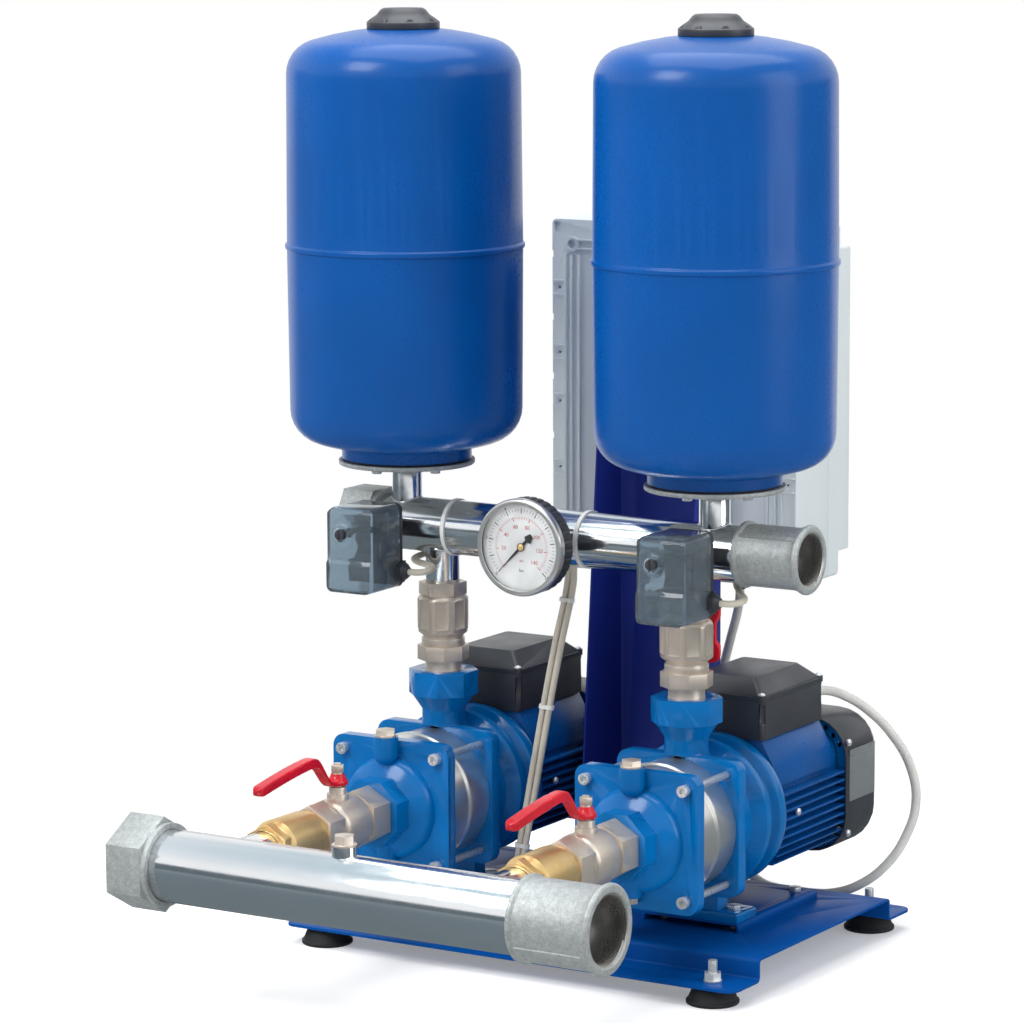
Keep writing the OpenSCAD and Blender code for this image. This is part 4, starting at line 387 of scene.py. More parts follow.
# Solids with the round edges of a dipped coating
DIPPED = ("suction_lever_left", "suction_lever_right")
DIP_VOXEL = 1.2 * MM
DIP_SINK = 1.3 * MM
DIP_ROUNDS = 40


def dip(piece):
    """Rounds a solid all over and thins it a little, as a dipped grip is."""
    even = piece.modifiers.new("Even mesh", "REMESH")
    even.mode = "VOXEL"
    even.voxel_size = DIP_VOXEL
    sink = piece.modifiers.new("Thinner", "DISPLACE")
    sink.strength = -DIP_SINK
    sink.mid_level = 0
    melt = piece.modifiers.new("Round all over", "SMOOTH")
    melt.factor = 0.5
    melt.iterations = DIP_ROUNDS


def dress(node, look, edge=None):
    """Gives a CAD node its finish, rounds its edges and smooths its curved faces."""
    piece = frame["nodes"][node]
    piece.data.materials.clear()
    piece.data.materials.append(FINISH[look])
    weld = piece.modifiers.new("Joined faces", "WELD")
    weld.merge_threshold = JOIN_DISTANCE
    flat = piece.modifiers.new("Flat faces", "DECIMATE")
    flat.decimate_type = "DISSOLVE"
    flat.angle_limit = FLAT_ANGLE
    width = sizes().edge if edge is None else edge
    if node in DIPPED:
        dip(piece)
    elif width:
        soft = piece.modifiers.new("Rounded edges", "BEVEL")
        soft.width = width
        soft.segments = 2
        soft.limit_method = "ANGLE"
        soft.angle_limit = SHARP_ANGLE
        soft.use_clamp_overlap = True
    smooth = piece.modifiers.new("Smooth shading", "NODES")
    smooth.node_group = smoothing_tree()


# Pieces

def place_piece(name, mesh, look, body=SET):
    """Puts a finished mesh in the scene on its body."""
    piece = bpy.data.objects.new(name, mesh)
    bpy.context.scene.collection.objects.link(piece)
    piece.data.materials.clear()
    piece.data.materials.append(FINISH[look])
    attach(piece, body)
    return piece


def mesh_from(build, name):
    """A mesh made by a function that fills a bmesh."""
    bm = bmesh.new()
    build(bm)
    bmesh.ops.recalc_face_normals(bm, faces=bm.faces)
    mesh = bpy.data.meshes.new(name)
    bm.to_mesh(mesh)
    bm.free()
    return mesh


def grow(name, tree, look, values, source=None):
    """Runs a geometry tree on a source mesh and keeps the result as a plain mesh."""
    holder = bpy.data.objects.new(name + "_source", source or bpy.data.meshes.new(name + "_source"))
    bpy.context.scene.collection.objects.link(holder)
    modifier = holder.modifiers.new(name, "NODES")
    modifier.node_group = tree
    sockets = {item.name: item.identifier for item in tree.interface.items_tree if item.in_out == "INPUT"}
    for label, value in {**values, "Material": FINISH[look]}.items():
        modifier[sockets[label]] = value
    graph = bpy.context.evaluated_depsgraph_get()
    mesh = bpy.data.meshes.new_from_object(holder.evaluated_get(graph))
    mesh.name = name
    bpy.data.objects.remove(holder)
    return place_piece(name, mesh, look)


def geometry_group(name, inputs):
    """A geometry tree with a geometry input, a material input and one output."""
    wanted = {"Geometry": (GEOMETRY, None), **inputs, "Material": (MATERIAL, None)}
    return node_group(name, "GeometryNodeTree", wanted, {"Geometry": GEOMETRY})


def end_tree(tree, given, result, geometry, smooth=True):
    """Realizes the instances, shades them and sets the material."""
    real = add(tree, "GeometryNodeRealizeInstances", {"Geometry": geometry}).outputs[0]
    shaded = add(tree, "GeometryNodeSetShadeSmooth", {"Geometry": real, "Shade Smooth": smooth}).outputs[0]
    painted = add(tree, "GeometryNodeSetMaterial", {"Geometry": shaded, "Material": given.outputs["Material"]})
    tree.links.new(painted.outputs[0], result.inputs["Geometry"])
    return tree


def thread_tree():
    """A thread inside a socket: a sharp ridge that winds along X from the origin."""
    tree, given, result = geometry_group("Pipe thread", {
        "Radius": (FLOAT, 0.03), "Pitch": (FLOAT, 0.0023), "Length": (FLOAT, 0.04), "Depth": (FLOAT, 0.0014),
        "Place": (VECTOR, (0, 0, 0))})
    turns = maths(tree, "DIVIDE", given.outputs["Length"], given.outputs["Pitch"])
    line = add(tree, "GeometryNodeCurveSpiral", {
        "Resolution": 48, "Rotations": turns, "Start Radius": given.outputs["Radius"],
        "End Radius": given.outputs["Radius"], "Height": given.outputs["Length"]}).outputs[0]
    ridge = add(tree, "GeometryNodeCurvePrimitiveCircle", {"Resolution": 4, "Radius": given.outputs["Depth"]},
                mode="RADIUS").outputs[0]
    swept = add(tree, "GeometryNodeCurveToMesh",
                {"Curve": line, "Profile Curve": ridge, "Fill Caps": True}).outputs[0]
    turned = add(tree, "GeometryNodeTransform", {"Geometry": swept, "Rotation": (0, math.pi / 2, 0),
                                                 "Translation": given.outputs["Place"]}).outputs[0]
    return end_tree(tree, given, result, turned, smooth=False)


def tick_tree():
    """Strokes of a dial along an arc, from the zero stroke clockwise."""
    tree, given, result = geometry_group("Dial strokes", {
        "Count": (INTEGER, 11), "Zero angle": (FLOAT, math.radians(225)), "Sweep": (FLOAT, math.radians(270)),
        "Radius": (FLOAT, 0.04), "Stroke length": (FLOAT, 0.004), "Stroke width": (FLOAT, 0.0006),
        "Thickness": (FLOAT, 0.0002), "Place": (VECTOR, (0, 0, 0))})
    steps = maths(tree, "SUBTRACT", given.outputs["Count"], 1.0)
    step = maths(tree, "DIVIDE", given.outputs["Sweep"], steps)
    turned = maths(tree, "MULTIPLY", add(tree, "GeometryNodeInputIndex").outputs[0], step)
    angle = maths(tree, "SUBTRACT", given.outputs["Zero angle"], turned)
    x = maths(tree, "MULTIPLY", maths(tree, "COSINE", angle), given.outputs["Radius"])
    z = maths(tree, "MULTIPLY", maths(tree, "SINE", angle), given.outputs["Radius"])
    spot = add(tree, "ShaderNodeCombineXYZ", {"X": x, "Z": z}).outputs[0]
    points = add(tree, "GeometryNodePoints", {"Count": given.outputs["Count"], "Position": spot}).outputs[0]
    lean = add(tree, "ShaderNodeCombineXYZ", {"Y": maths(tree, "SUBTRACT", math.pi / 2, angle)}).outputs[0]
    size = add(tree, "ShaderNodeCombineXYZ", {
        "X": given.outputs["Stroke width"], "Y": given.outputs["Thickness"],
        "Z": given.outputs["Stroke length"]}).outputs[0]
    stroke = add(tree, "GeometryNodeMeshCube", {"Size": size}).outputs[0]
    rows = add(tree, "GeometryNodeInstanceOnPoints",
               {"Points": points, "Instance": stroke, "Rotation": lean}).outputs[0]
    moved = add(tree, "GeometryNodeTransform",
                {"Geometry": rows, "Translation": given.outputs["Place"]}).outputs[0]
    return end_tree(tree, given, result, moved, smooth=False)


def bead_tree():
    """A weld bead along the loops of the source mesh, with the ripple of the torch."""
    tree, given, result = geometry_group("Weld bead", {"Radius": (FLOAT, 0.0013), "Ripple": (FLOAT, 420.0)})
    line = add(tree, "GeometryNodeMeshToCurve", {"Mesh": given.outputs["Geometry"]}).outputs[0]
    fine = add(tree, "GeometryNodeResampleCurve", {"Curve": line, "Length": 0.0012}, mode="LENGTH").outputs[0]
    wave = add(tree, "ShaderNodeTexNoise", {"Scale": given.outputs["Ripple"]}).outputs["Fac"]
    swell = add(tree, "ShaderNodeMapRange", {"Value": wave, "From Min": 0.3, "From Max": 0.7,
                                             "To Min": 0.9, "To Max": 1.1}).outputs[0]
    size = maths(tree, "MULTIPLY", swell, given.outputs["Radius"])
    round_line = add(tree, "GeometryNodeCurvePrimitiveCircle", {"Resolution": 8, "Radius": 1.0},
                     mode="RADIUS").outputs[0]
    swept = add(tree, "GeometryNodeCurveToMesh",
                {"Curve": fine, "Profile Curve": round_line, "Scale": size}).outputs[0]
    return end_tree(tree, given, result, swept)


def screw_tree():
    """Pan heads with a cross recess on the points of the source mesh, all facing one way."""
    tree, given, result = geometry_group("Screw heads", {
        "Head radius": (FLOAT, 0.004), "Head height": (FLOAT, 0.003), "Facing": (VECTOR, (0, 0, 0))})
    radius, height = given.outputs["Head radius"], given.outputs["Head height"]
    body = add(tree, "GeometryNodeMeshCylinder", {"Vertices": 24, "Side Segments": 1, "Radius": radius,
                                                  "Depth": height}, fill_type="NGON").outputs["Mesh"]
    dome = add(tree, "GeometryNodeMeshUVSphere", {"Segments": 24, "Rings": 12, "Radius": radius}).outputs["Mesh"]
    flat = add(tree, "ShaderNodeCombineXYZ", {"X": 1.0, "Y": 1.0, "Z": 0.72}).outputs[0]
    cap = add(tree, "GeometryNodeTransform", {"Geometry": dome, "Scale": flat}).outputs[0]
    slot_x = maths(tree, "MULTIPLY", radius, 1.1)
    slot_y = maths(tree, "MULTIPLY", radius, 0.24)
    arms = [add(tree, "ShaderNodeCombineXYZ", {"X": a, "Y": b, "Z": height}).outputs[0]
            for a, b in ((slot_x, slot_y), (slot_y, slot_x))]
    bars = [add(tree, "GeometryNodeMeshCube", {"Size": arm}).outputs["Mesh"] for arm in arms]
    cross = add(tree, "GeometryNodeJoinGeometry")
    lift = add(tree, "ShaderNodeCombineXYZ", {"Z": maths(tree, "MULTIPLY", radius, 0.72)}).outputs[0]
    for bar in bars:
        raised = add(tree, "GeometryNodeTransform", {"Geometry": bar, "Translation": lift}).outputs[0]
        tree.links.new(raised, cross.inputs[0])
    head = add(tree, "GeometryNodeJoinGeometry")
    tree.links.new(body, head.inputs[0])
    cut = add(tree, "GeometryNodeMeshBoolean", {"Mesh 1": cap}, operation="DIFFERENCE")
    tree.links.new(cross.outputs[0], cut.inputs["Mesh 2"])
    tree.links.new(cut.outputs["Mesh"], head.inputs[0])
    points = add(tree, "GeometryNodeMeshToPoints", {"Mesh": given.outputs["Geometry"]}).outputs[0]
    rows = add(tree, "GeometryNodeInstanceOnPoints", {"Points": points, "Instance": head.outputs[0],
                                                      "Rotation": given.outputs["Facing"]}).outputs[0]
    return end_tree(tree, given, result, rows, smooth=False)


def points_mesh(name, points):
    """Loose points."""
    mesh = bpy.data.meshes.new(name)
    mesh.from_pydata([tuple(p) for p in points], [], [])
    return mesh


def loops_mesh(name, loops):
    """Closed rings of edges."""
    mesh = bpy.data.meshes.new(name)
    points, edges = [], []
    for ring in loops:
        start = len(points)
        points += [tuple(p) for p in ring]
        edges += [(start + i, start + (i + 1) % len(ring)) for i in range(len(ring))]
    mesh.from_pydata(points, edges, [])
    return mesh


# Stage

FLOOR_SIZE = 60.0
# Reach of the shadowed floor across and along the set, where its fade to white starts and ends
SHADOW_REACH = (0.62, 0.80)
WHITE_FROM = 0.75
WHITE_BY = 1.5
FLOOR_LIFT = 0.25
# The room overhead, as reflections see it
OVERHEAD = (0.50, 0.64, 0.72, 1)
OVERHEAD_FROM = 0.35
OVERHEAD_BY = 0.95
ROOM_LIGHT = 0.52
# Softboxes: offset from the aim along the camera's right, up and back or the set's axes in metres, width and
# height, watts, and whether gloss mirrors them
LAMPS = (
    ("Key", "camera", (-2.2, 2.2, 2.4), (1.6, 1.6), 84, True),
    ("Side", "set", (-2.6, -0.55, 0.7), (1.2, 2.0), 22, False),
    ("Fill", "camera", (2.6, 0.9, 1.6), (1.6, 2.6), 30, True),
    ("Top", "set", (0, 0.2, 2.4), (2.4, 2.4), 60, True),
)


def floor_material():
    """Pale floor that keeps the shadow near the object and fades to the white background."""
    made = bpy.data.materials.new("Pale floor")
    made.use_nodes = True
    tree = made.node_tree
    bsdf = tree.nodes["Principled BSDF"]
    bsdf.inputs["Base Color"].default_value = (0.90, 0.90, 0.90, 1)
    bsdf.inputs["Roughness"].default_value = 0.7
    out = tree.nodes["Material Output"]
    place = add(tree, "ShaderNodeTexCoord").outputs["Object"]
    reach = add(tree, "ShaderNodeVectorMath", {0: place, 1: (1 / SHADOW_REACH[0], 1 / SHADOW_REACH[1], 0)},
                operation="MULTIPLY").outputs[0]
    far = add(tree, "ShaderNodeVectorMath", {0: reach}, operation="LENGTH").outputs["Value"]
    fade = add(tree, "ShaderNodeMapRange", {"Value": far, "From Min": WHITE_FROM, "From Max": WHITE_BY},
               interpolation_type="SMOOTHSTEP").outputs[0]
    seen = background_rays(tree)
    share = maths(tree, "MULTIPLY", fade, seen)
    white = add(tree, "ShaderNodeEmission", {"Color": (1, 1, 1, 1), "Strength": 1.0}).outputs[0]
    lift = maths(tree, "MULTIPLY", seen, FLOOR_LIFT)
    glow = add(tree, "ShaderNodeEmission", {"Color": (1, 1, 1, 1), "Strength": lift}).outputs[0]
    near = add(tree, "ShaderNodeAddShader", {0: bsdf.outputs[0], 1: glow}).outputs[0]
    mixed = add(tree, "ShaderNodeMixShader", {0: share, 1: near, 2: white}).outputs[0]
    tree.links.new(mixed, out.inputs["Surface"])
    return made


def background_rays(tree):
    """1 for the rays that show the background: camera, glossy and transmission rays."""
    path = add(tree, "ShaderNodeLightPath")
    first = maths(tree, "MAXIMUM", path.outputs["Is Camera Ray"], path.outputs["Is Glossy Ray"])
    return maths(tree, "MAXIMUM", first, path.outputs["Is Transmission Ray"])


def studio_world():
    """Even room light, and the white background that camera, gloss and glass see."""
    world = bpy.data.worlds.new("Studio")
    world.use_nodes = True
    tree = world.node_tree
    out = tree.nodes["World Output"]
    room = tree.nodes["Background"]
    room.inputs["Color"].default_value = (1.0, 1.0, 1.0, 1)
    room.inputs["Strength"].default_value = ROOM_LIGHT
    # Reflections see white at the horizon and a pale blue overhead
    way = add(tree, "ShaderNodeTexCoord").outputs["Generated"]
    rise = add(tree, "ShaderNodeSeparateXYZ", {0: way}).outputs["Z"]
    high = add(tree, "ShaderNodeMapRange",
               {"Value": rise, "From Min": OVERHEAD_FROM, "From Max": OVERHEAD_BY}).outputs[0]
    glossy = add(tree, "ShaderNodeLightPath").outputs["Is Glossy Ray"]
    share = maths(tree, "MULTIPLY", high, glossy)
    tint = add(tree, "ShaderNodeMix", {0: share, 6: (1, 1, 1, 1), 7: OVERHEAD}, data_type="RGBA").outputs[2]
    white = add(tree, "ShaderNodeBackground", {"Color": tint, "Strength": 1.0}).outputs[0]
    mixed = add(tree, "ShaderNodeMixShader", {0: background_rays(tree), 1: room.outputs[0], 2: white}).outputs[0]
    tree.links.new(mixed, out.inputs["Surface"])
    bpy.context.scene.world = world


def softbox(name, at, aim, size, power, mirrored):
    """A rectangular area light at a point, facing another, which gloss mirrors or not."""
    lamp = bpy.data.lights.new(name, "AREA")
    lamp.shape = "RECTANGLE"
    lamp.size, lamp.size_y = size
    lamp.energy = power
    holder = bpy.data.objects.new(name, lamp)
    holder.location = at
    holder.rotation_euler = (Vector(aim) - Vector(at)).to_track_quat("-Z", "Y").to_euler()
    holder.visible_glossy = mirrored
    bpy.context.scene.collection.objects.link(holder)


# The dark studio floor that only reflections see, and the low dark screen at its far edge
FLAG_REACH = 12.0
FLAG_HEIGHT = 2.2
FLAG_HALF_ANGLE = math.radians(128)
FLAG_BEHIND = 0.9
FLAG_LIFT = 0.0005
FLAG_STEPS = 32
# Its greys by distance from the apex, as shares of the reach
FLAG_GREYS = ((0.0, (0.15, 0.17, 0.18, 1)), (0.14, (0.17, 0.21, 0.23, 1)), (0.30, (0.27, 0.31, 0.33, 1)),
              (0.65, (0.12, 0.15, 0.17, 1)))


def dark_flag(front):
    """A dark sector just above the floor towards the camera, with its screen: only reflections see it."""
    facing = Vector((front.x, front.y, 0)).normalized()
    apex = facing * -FLAG_BEHIND + Vector((0, 0, FLAG_LIFT))
    steps = FLAG_STEPS
    turns = [FLAG_HALF_ANGLE * (2 * i / steps - 1) for i in range(steps + 1)]
    rim = [apex + Matrix.Rotation(turn, 3, "Z") @ facing * (FLAG_REACH - FLAG_BEHIND) for turn in turns]
    mesh = bpy.data.meshes.new("Dark flag")
    top = [point + Vector((0, 0, FLAG_HEIGHT)) for point in rim]
    walls = [(i, i + 1, i + steps + 2, i + steps + 1) for i in range(1, steps + 1)]
    mesh.from_pydata([apex, *rim, *top], [], [(0, i, i + 1) for i in range(1, steps + 1)] + walls)
    made = bpy.data.materials.new("Dark flag")
    made.use_nodes = True
    tree = made.node_tree
    tree.nodes.remove(tree.nodes["Principled BSDF"])
    place = add(tree, "ShaderNodeTexCoord").outputs["Object"]
    far = add(tree, "ShaderNodeVectorMath", {0: place, 1: tuple(apex)}, operation="DISTANCE").outputs["Value"]
    share = maths(tree, "DIVIDE", far, FLAG_REACH)
    ramp = add(tree, "ShaderNodeValToRGB", {0: share})
    stops = ramp.color_ramp.elements
    while len(stops) < len(FLAG_GREYS):
        stops.new(1.0)
    for stop, (position, grey) in zip(stops, FLAG_GREYS):
        stop.position, stop.color = position, grey
    dark = add(tree, "ShaderNodeEmission", {"Color": ramp.outputs[0], "Strength": 1.0}).outputs[0]
    tree.links.new(dark, tree.nodes["Material Output"].inputs["Surface"])
    mesh.materials.append(made)
    flag = bpy.data.objects.new("Dark flag", mesh)
    flag.visible_camera = False
    flag.visible_diffuse = False
    flag.visible_shadow = False
    flag.visible_transmission = False
    bpy.context.scene.collection.objects.link(flag)


def camera_axes():
    """Right, up and back of the photograph's camera."""
    az, el, roll = (math.radians(a) for a in (CAMERA_AZIMUTH, CAMERA_ELEVATION, CAMERA_ROLL))
    back = Vector((math.sin(az) * math.cos(el), -math.cos(az) * math.cos(el), math.sin(el)))
    level = Vector((math.cos(az), math.sin(az), 0))
    rise = back.cross(level)
    right = level * math.cos(roll) + rise * math.sin(roll)
    up = rise * math.cos(roll) - level * math.sin(roll)
    return right, up, back


class BOOSTER_OT_stage(bpy.types.Operator):
    """Camera, floor, lights and background"""
    bl_idname = "booster.stage"
    bl_label = "Stage"

    def execute(self, context):
        scene = context.scene
        scene.view_settings.view_transform = "Standard"
        right, up, back = camera_axes()
        camera = bpy.data.objects.new("Camera", bpy.data.cameras.new("Camera"))
        camera.data.lens = CAMERA_LENS
        camera.data.sensor_width = SENSOR_WIDTH
        camera.matrix_world = Matrix.Translation(CAMERA_TARGET + back * CAMERA_DISTANCE) @ Matrix(
            (right, up, back)).transposed().to_4x4()
        scene.collection.objects.link(camera)
        scene.camera = camera
        half = FLOOR_SIZE / 2
        corners = [(-half, -half, 0), (half, -half, 0), (half, half, 0), (-half, half, 0)]
        mesh = bpy.data.meshes.new("Floor")
        mesh.from_pydata(corners, [], [(0, 1, 2, 3)])
        mesh.materials.append(floor_material())
        floor = bpy.data.objects.new("Floor", mesh)
        scene.collection.objects.link(floor)
        dark_flag(back)
        studio_world()
        axes = {"camera": Matrix((right, up, back)).transposed(), "set": Matrix.Identity(3)}
        for name, along, offset, size, power, mirrored in LAMPS:
            softbox(name, CAMERA_TARGET + axes[along] @ Vector(offset), CAMERA_TARGET, size, power, mirrored)
        return {"FINISHED"}


# Cables

def smooth_line(name, points, diameter, look):
    """One smooth open curve through the points, as a round cable."""
    line = bpy.data.curves.new(name, "CURVE")
    line.dimensions = "3D"
    line.bevel_depth = diameter / 2
    line.bevel_resolution = 5
    line.resolution_u = 10
    line.use_fill_caps = True
    spline = line.splines.new("BEZIER")
    spline.bezier_points.add(len(points) - 1)
    for knot, point in zip(spline.bezier_points, points):
        knot.co = point
        knot.handle_left_type = knot.handle_right_type = "AUTO"
    piece = bpy.data.objects.new(name, line)
    bpy.context.scene.collection.objects.link(piece)
    line.materials.append(FINISH[look])
    return piece


def on_route(route, height):
    """The point of a route's first fall through a height."""
    for high, low in zip(route, route[1:]):
        if low[2] <= height <= high[2]:
            share = (high[2] - height) / (high[2] - low[2])
            return Vector(high).lerp(Vector(low), share), (Vector(low) - Vector(high)).normalized()
    raise ValueError("the route does not pass that height")


def band(bm, ring, along, width, thickness):
    """A flat band round a closed ring of points, with its width along a direction."""
    count = len(ring)
    centre = sum(ring, Vector()) / count
    rows = []
    for point in ring:
        out = point - centre
        out = (out - along * out.dot(along)).normalized()
        rows.append([bm.verts.new(point + out * depth + along * side * width / 2)
                     for depth, side in ((0, -1), (0, 1), (thickness, 1), (thickness, -1))])
    for i, row in enumerate(rows):
        after = rows[(i + 1) % count]
        for k in range(4):
            bm.faces.new((row[k], row[(k + 1) % 4], after[(k + 1) % 4], after[k]))


def block(bm, middle_point, axes, size):
    """A box about a point, with its sides along three axes."""
    halves = [axis * extent / 2 for axis, extent in zip(axes, size)]
    corners = [bm.verts.new(middle_point + a * halves[0] + b * halves[1] + c * halves[2])
               for a in (-1, 1) for b in (-1, 1) for c in (-1, 1)]
    for quad in ((0, 1, 3, 2), (4, 6, 7, 5), (0, 4, 5, 1), (2, 3, 7, 6), (0, 2, 6, 4), (1, 5, 7, 3)):
        bm.faces.new([corners[i] for i in quad])


def stadium(first, second, along, radius, steps=10):
    """A ring round two parallel cables."""
    across = (second - first).normalized()
    across = (across - along * across.dot(along)).normalized()
    up = along.cross(across)
    ring = []
    for centre, start in ((second, -90), (first, 90)):
        for i in range(steps + 1):
            angle = math.radians(start + 180 * i / steps)
            ring.append(centre + (across * math.cos(angle) + up * math.sin(angle)) * radius)
    return ring, across, up


# Heights of the ties on the falling cables, and places of those on the delivery pipe from the route origin
DROP_TIES = (0.387, 0.268, 0.112)
PIPE_TIES = (-0.136, 0.034)
PIPE_R = 30.15 * MM
TIE_GAP = 0.2 * MM
PIPE_TIE_GAP = 0.3 * MM
PIPE_TIE_STEPS = 64
# Where and how sharply a pipe tie swells over the cables, and its slack there
SWELL_TURN = math.radians(12)
SWELL_SHARPNESS = 6
SWELL_SLACK = 0.6 * MM
TIE_HEAD = (5.5 * MM, 6 * MM, 3.6 * MM)
TIE_HEAD_OUT = 2.2 * MM


def tie_on_drop(bm, height):
    """A cable tie round both switch cables where they fall beside each other."""
    s = sizes()
    first, along = on_route(LEFT_DROP, height)
    second, _ = on_route(RIGHT_DROP, height)
    ring, across, up = stadium(first + ROUTE_ORIGIN, second + ROUTE_ORIGIN, along,
                               s.switch_cable / 2 + TIE_GAP)
    band(bm, ring, along, s.tie_width, s.tie_thickness)
    head = (first + second) / 2 + ROUTE_ORIGIN - up * (s.switch_cable / 2 + TIE_HEAD_OUT)
    block(bm, head, (across, along, up), TIE_HEAD)


def tie_on_pipe(bm, x):
    """A cable tie round the delivery pipe and the cables behind it."""
    s = sizes()
    radius = PIPE_R + PIPE_TIE_GAP
    along = Vector((1, 0, 0))
    centre = Vector((x + ROUTE_ORIGIN.x, DELIVERY.y, DELIVERY.z))
    reach = PIPE_R + s.switch_cable
    ring = []
    for i in range(PIPE_TIE_STEPS):
        angle = math.radians(360 * i / PIPE_TIE_STEPS)
        swell = max(0.0, math.cos(angle + SWELL_TURN)) ** SWELL_SHARPNESS
        out = radius + swell * (reach - radius + SWELL_SLACK)
        ring.append(centre + Vector((0, math.cos(angle), math.sin(angle))) * out)
    band(bm, ring, along, s.tie_width, s.tie_thickness)


class BOOSTER_OT_cables(bpy.types.Operator):
    """Motor cable, two switch cables and their ties"""
    bl_idname = "booster.cables"
    bl_label = "Cables"

    def execute(self, context):
        s = sizes()
        for name, route, diameter, look, long, bend, lay in (
                ("motor_lead", MOTOR_ROUTE, s.motor_cable, "grey_cable", 0.835, "medium", "loose"),
                ("switch_lead_left", LEFT_ROUTE, s.switch_cable, "beige_cable", 1.252, "limp", "taut"),
                ("switch_lead_right", RIGHT_ROUTE, s.switch_cable, "beige_cable", 1.286, "limp", "taut")):
            points = [ROUTE_ORIGIN + Vector(p) for p in route]
            lead = smooth_line(name, points, diameter, look)
            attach(lead, SET)
            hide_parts(name.replace("lead", "cable"))

        def ties(bm):
            for height in DROP_TIES:
                tie_on_drop(bm, height)
            for x in PIPE_TIES:
                tie_on_pipe(bm, x)
        place_piece("cable_ties", mesh_from(ties, "cable_ties"), "tie")
        return {"FINISHED"}


# Finishes of the solids

LOOKS = {node["node"]: node["material_slot"] for node in frame["record"]["subparts"]}
REPLACED = ("motor_cable", "switch_cable_left", "switch_cable_right", "check_springs")
# Solids whose finish differs from that of their material slot: the column takes the base paint darkened and turned
# violet, as painted shade
OTHER_LOOKS = {"panel_column": "column_shaded_paint"}
# Edge rounding in metres where it differs from the common one
EDGES = {
    "base_frame": 0.0006, "panel_column": 0.0006, "pump_plinths": 0.0006, "suction_covers": 0.0022,
    "delivery_casings": 0.0022, "motor_brackets": 0.0018, "motor_housings": 0.0007, "terminal_boxes": 0.0014,
    "terminal_lids": 0.0016, "gauge_glass": 0.0, "gauge_dial": 0.0, "gauge_pointer": 0.0, "gauge_bezel": 0.0004,
    "switch_covers": 0.0012, "panel_body": 0.0010, "panel_door": 0.0016,
    "delivery_handle_left": 0.0012, "delivery_handle_right": 0.0012,
    "tank_lower_shells": 0.0, "tank_upper_shells": 0.0006, "tank_membranes": 0.0,
    "stators": 0.0, "suction_manifold": 0.0004, "delivery_manifold": 0.0004, "base_fasteners": 0.0004,
    "tank_bolts": 0.0003, "tie_screws": 0.0004, "rotor_left": 0.0, "rotor_right": 0.0, "shaft_bearings": 0.0003,
}


class BOOSTER_OT_finishes(bpy.types.Operator):
    """Finish and edge rounding of every solid"""
    bl_idname = "booster.finishes"
    bl_label = "Finishes"

    def execute(self, context):
        for node, look in LOOKS.items():
            if node not in REPLACED:
                dress(node, OTHER_LOOKS.get(node, look), EDGES.get(node))
        return {"FINISHED"}


# Check valve springs

class BOOSTER_OT_springs(bpy.types.Operator):
    """Springs of the check valves, one piece for each valve"""
    bl_idname = "booster.springs"
    bl_label = "Check springs"

    def execute(self, context):
        node = "check_springs"
        half_way = (PUMPS[0].x + PUMPS[1].x) / 2
        for side, sign in (("left", -1), ("right", 1)):
            def one_spring(bm):
                bm.from_mesh(frame["nodes"][node].data)
                bmesh.ops.remove_doubles(bm, verts=bm.verts, dist=JOIN_DISTANCE / 10)
                other = [vert for vert in bm.verts if (vert.co.x - half_way) * sign < 0]
                bmesh.ops.delete(bm, geom=other, context="VERTS")
            spring = place_piece("check_spring_" + side, mesh_from(one_spring, node), LOOKS[node])
            spring.data.shade_smooth()
            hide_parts(node)
            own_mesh(spring)
        return {"FINISHED"}


# Gauge face

ZERO_ANGLE = math.radians(225)
SCALE_SWEEP = math.radians(270)
RED_STEPS = 7
HUB_R = 4.2 * MM
HUB_FLAT = 0.5
HUB_SINK = 1.2 * MM


def dial_word(text, angle, radius, height, front):
    """A number on the dial, centred at an angle and radius, as a mesh on the dial's face."""
    font = bpy.data.curves.new("number", "FONT")
    font.body = text
    font.size = height
    font.align_x = "CENTER"
    font.align_y = "CENTER"
    font.extrude = 0.05 * MM
    font.resolution_u = 3
    holder = bpy.data.objects.new("number", font)
    bpy.context.scene.collection.objects.link(holder)
    graph = bpy.context.evaluated_depsgraph_get()
    mesh = bpy.data.meshes.new_from_object(holder.evaluated_get(graph))
    bpy.data.objects.remove(holder)
    stand = Matrix.Rotation(math.pi / 2, 4, "X")
    spot = Vector((GAUGE.x + radius * math.cos(angle), front, GAUGE.z + radius * math.sin(angle)))
    mesh.transform(Matrix.Translation(spot) @ stand)
    return mesh


def join_meshes(name, meshes):
    """One mesh of several, which are then removed."""
    bm = bmesh.new()
    for mesh in meshes:
        bm.from_mesh(mesh)
        bpy.data.meshes.remove(mesh)
    joined = bpy.data.meshes.new(name)
    bm.to_mesh(joined)
    bm.free()
    return joined


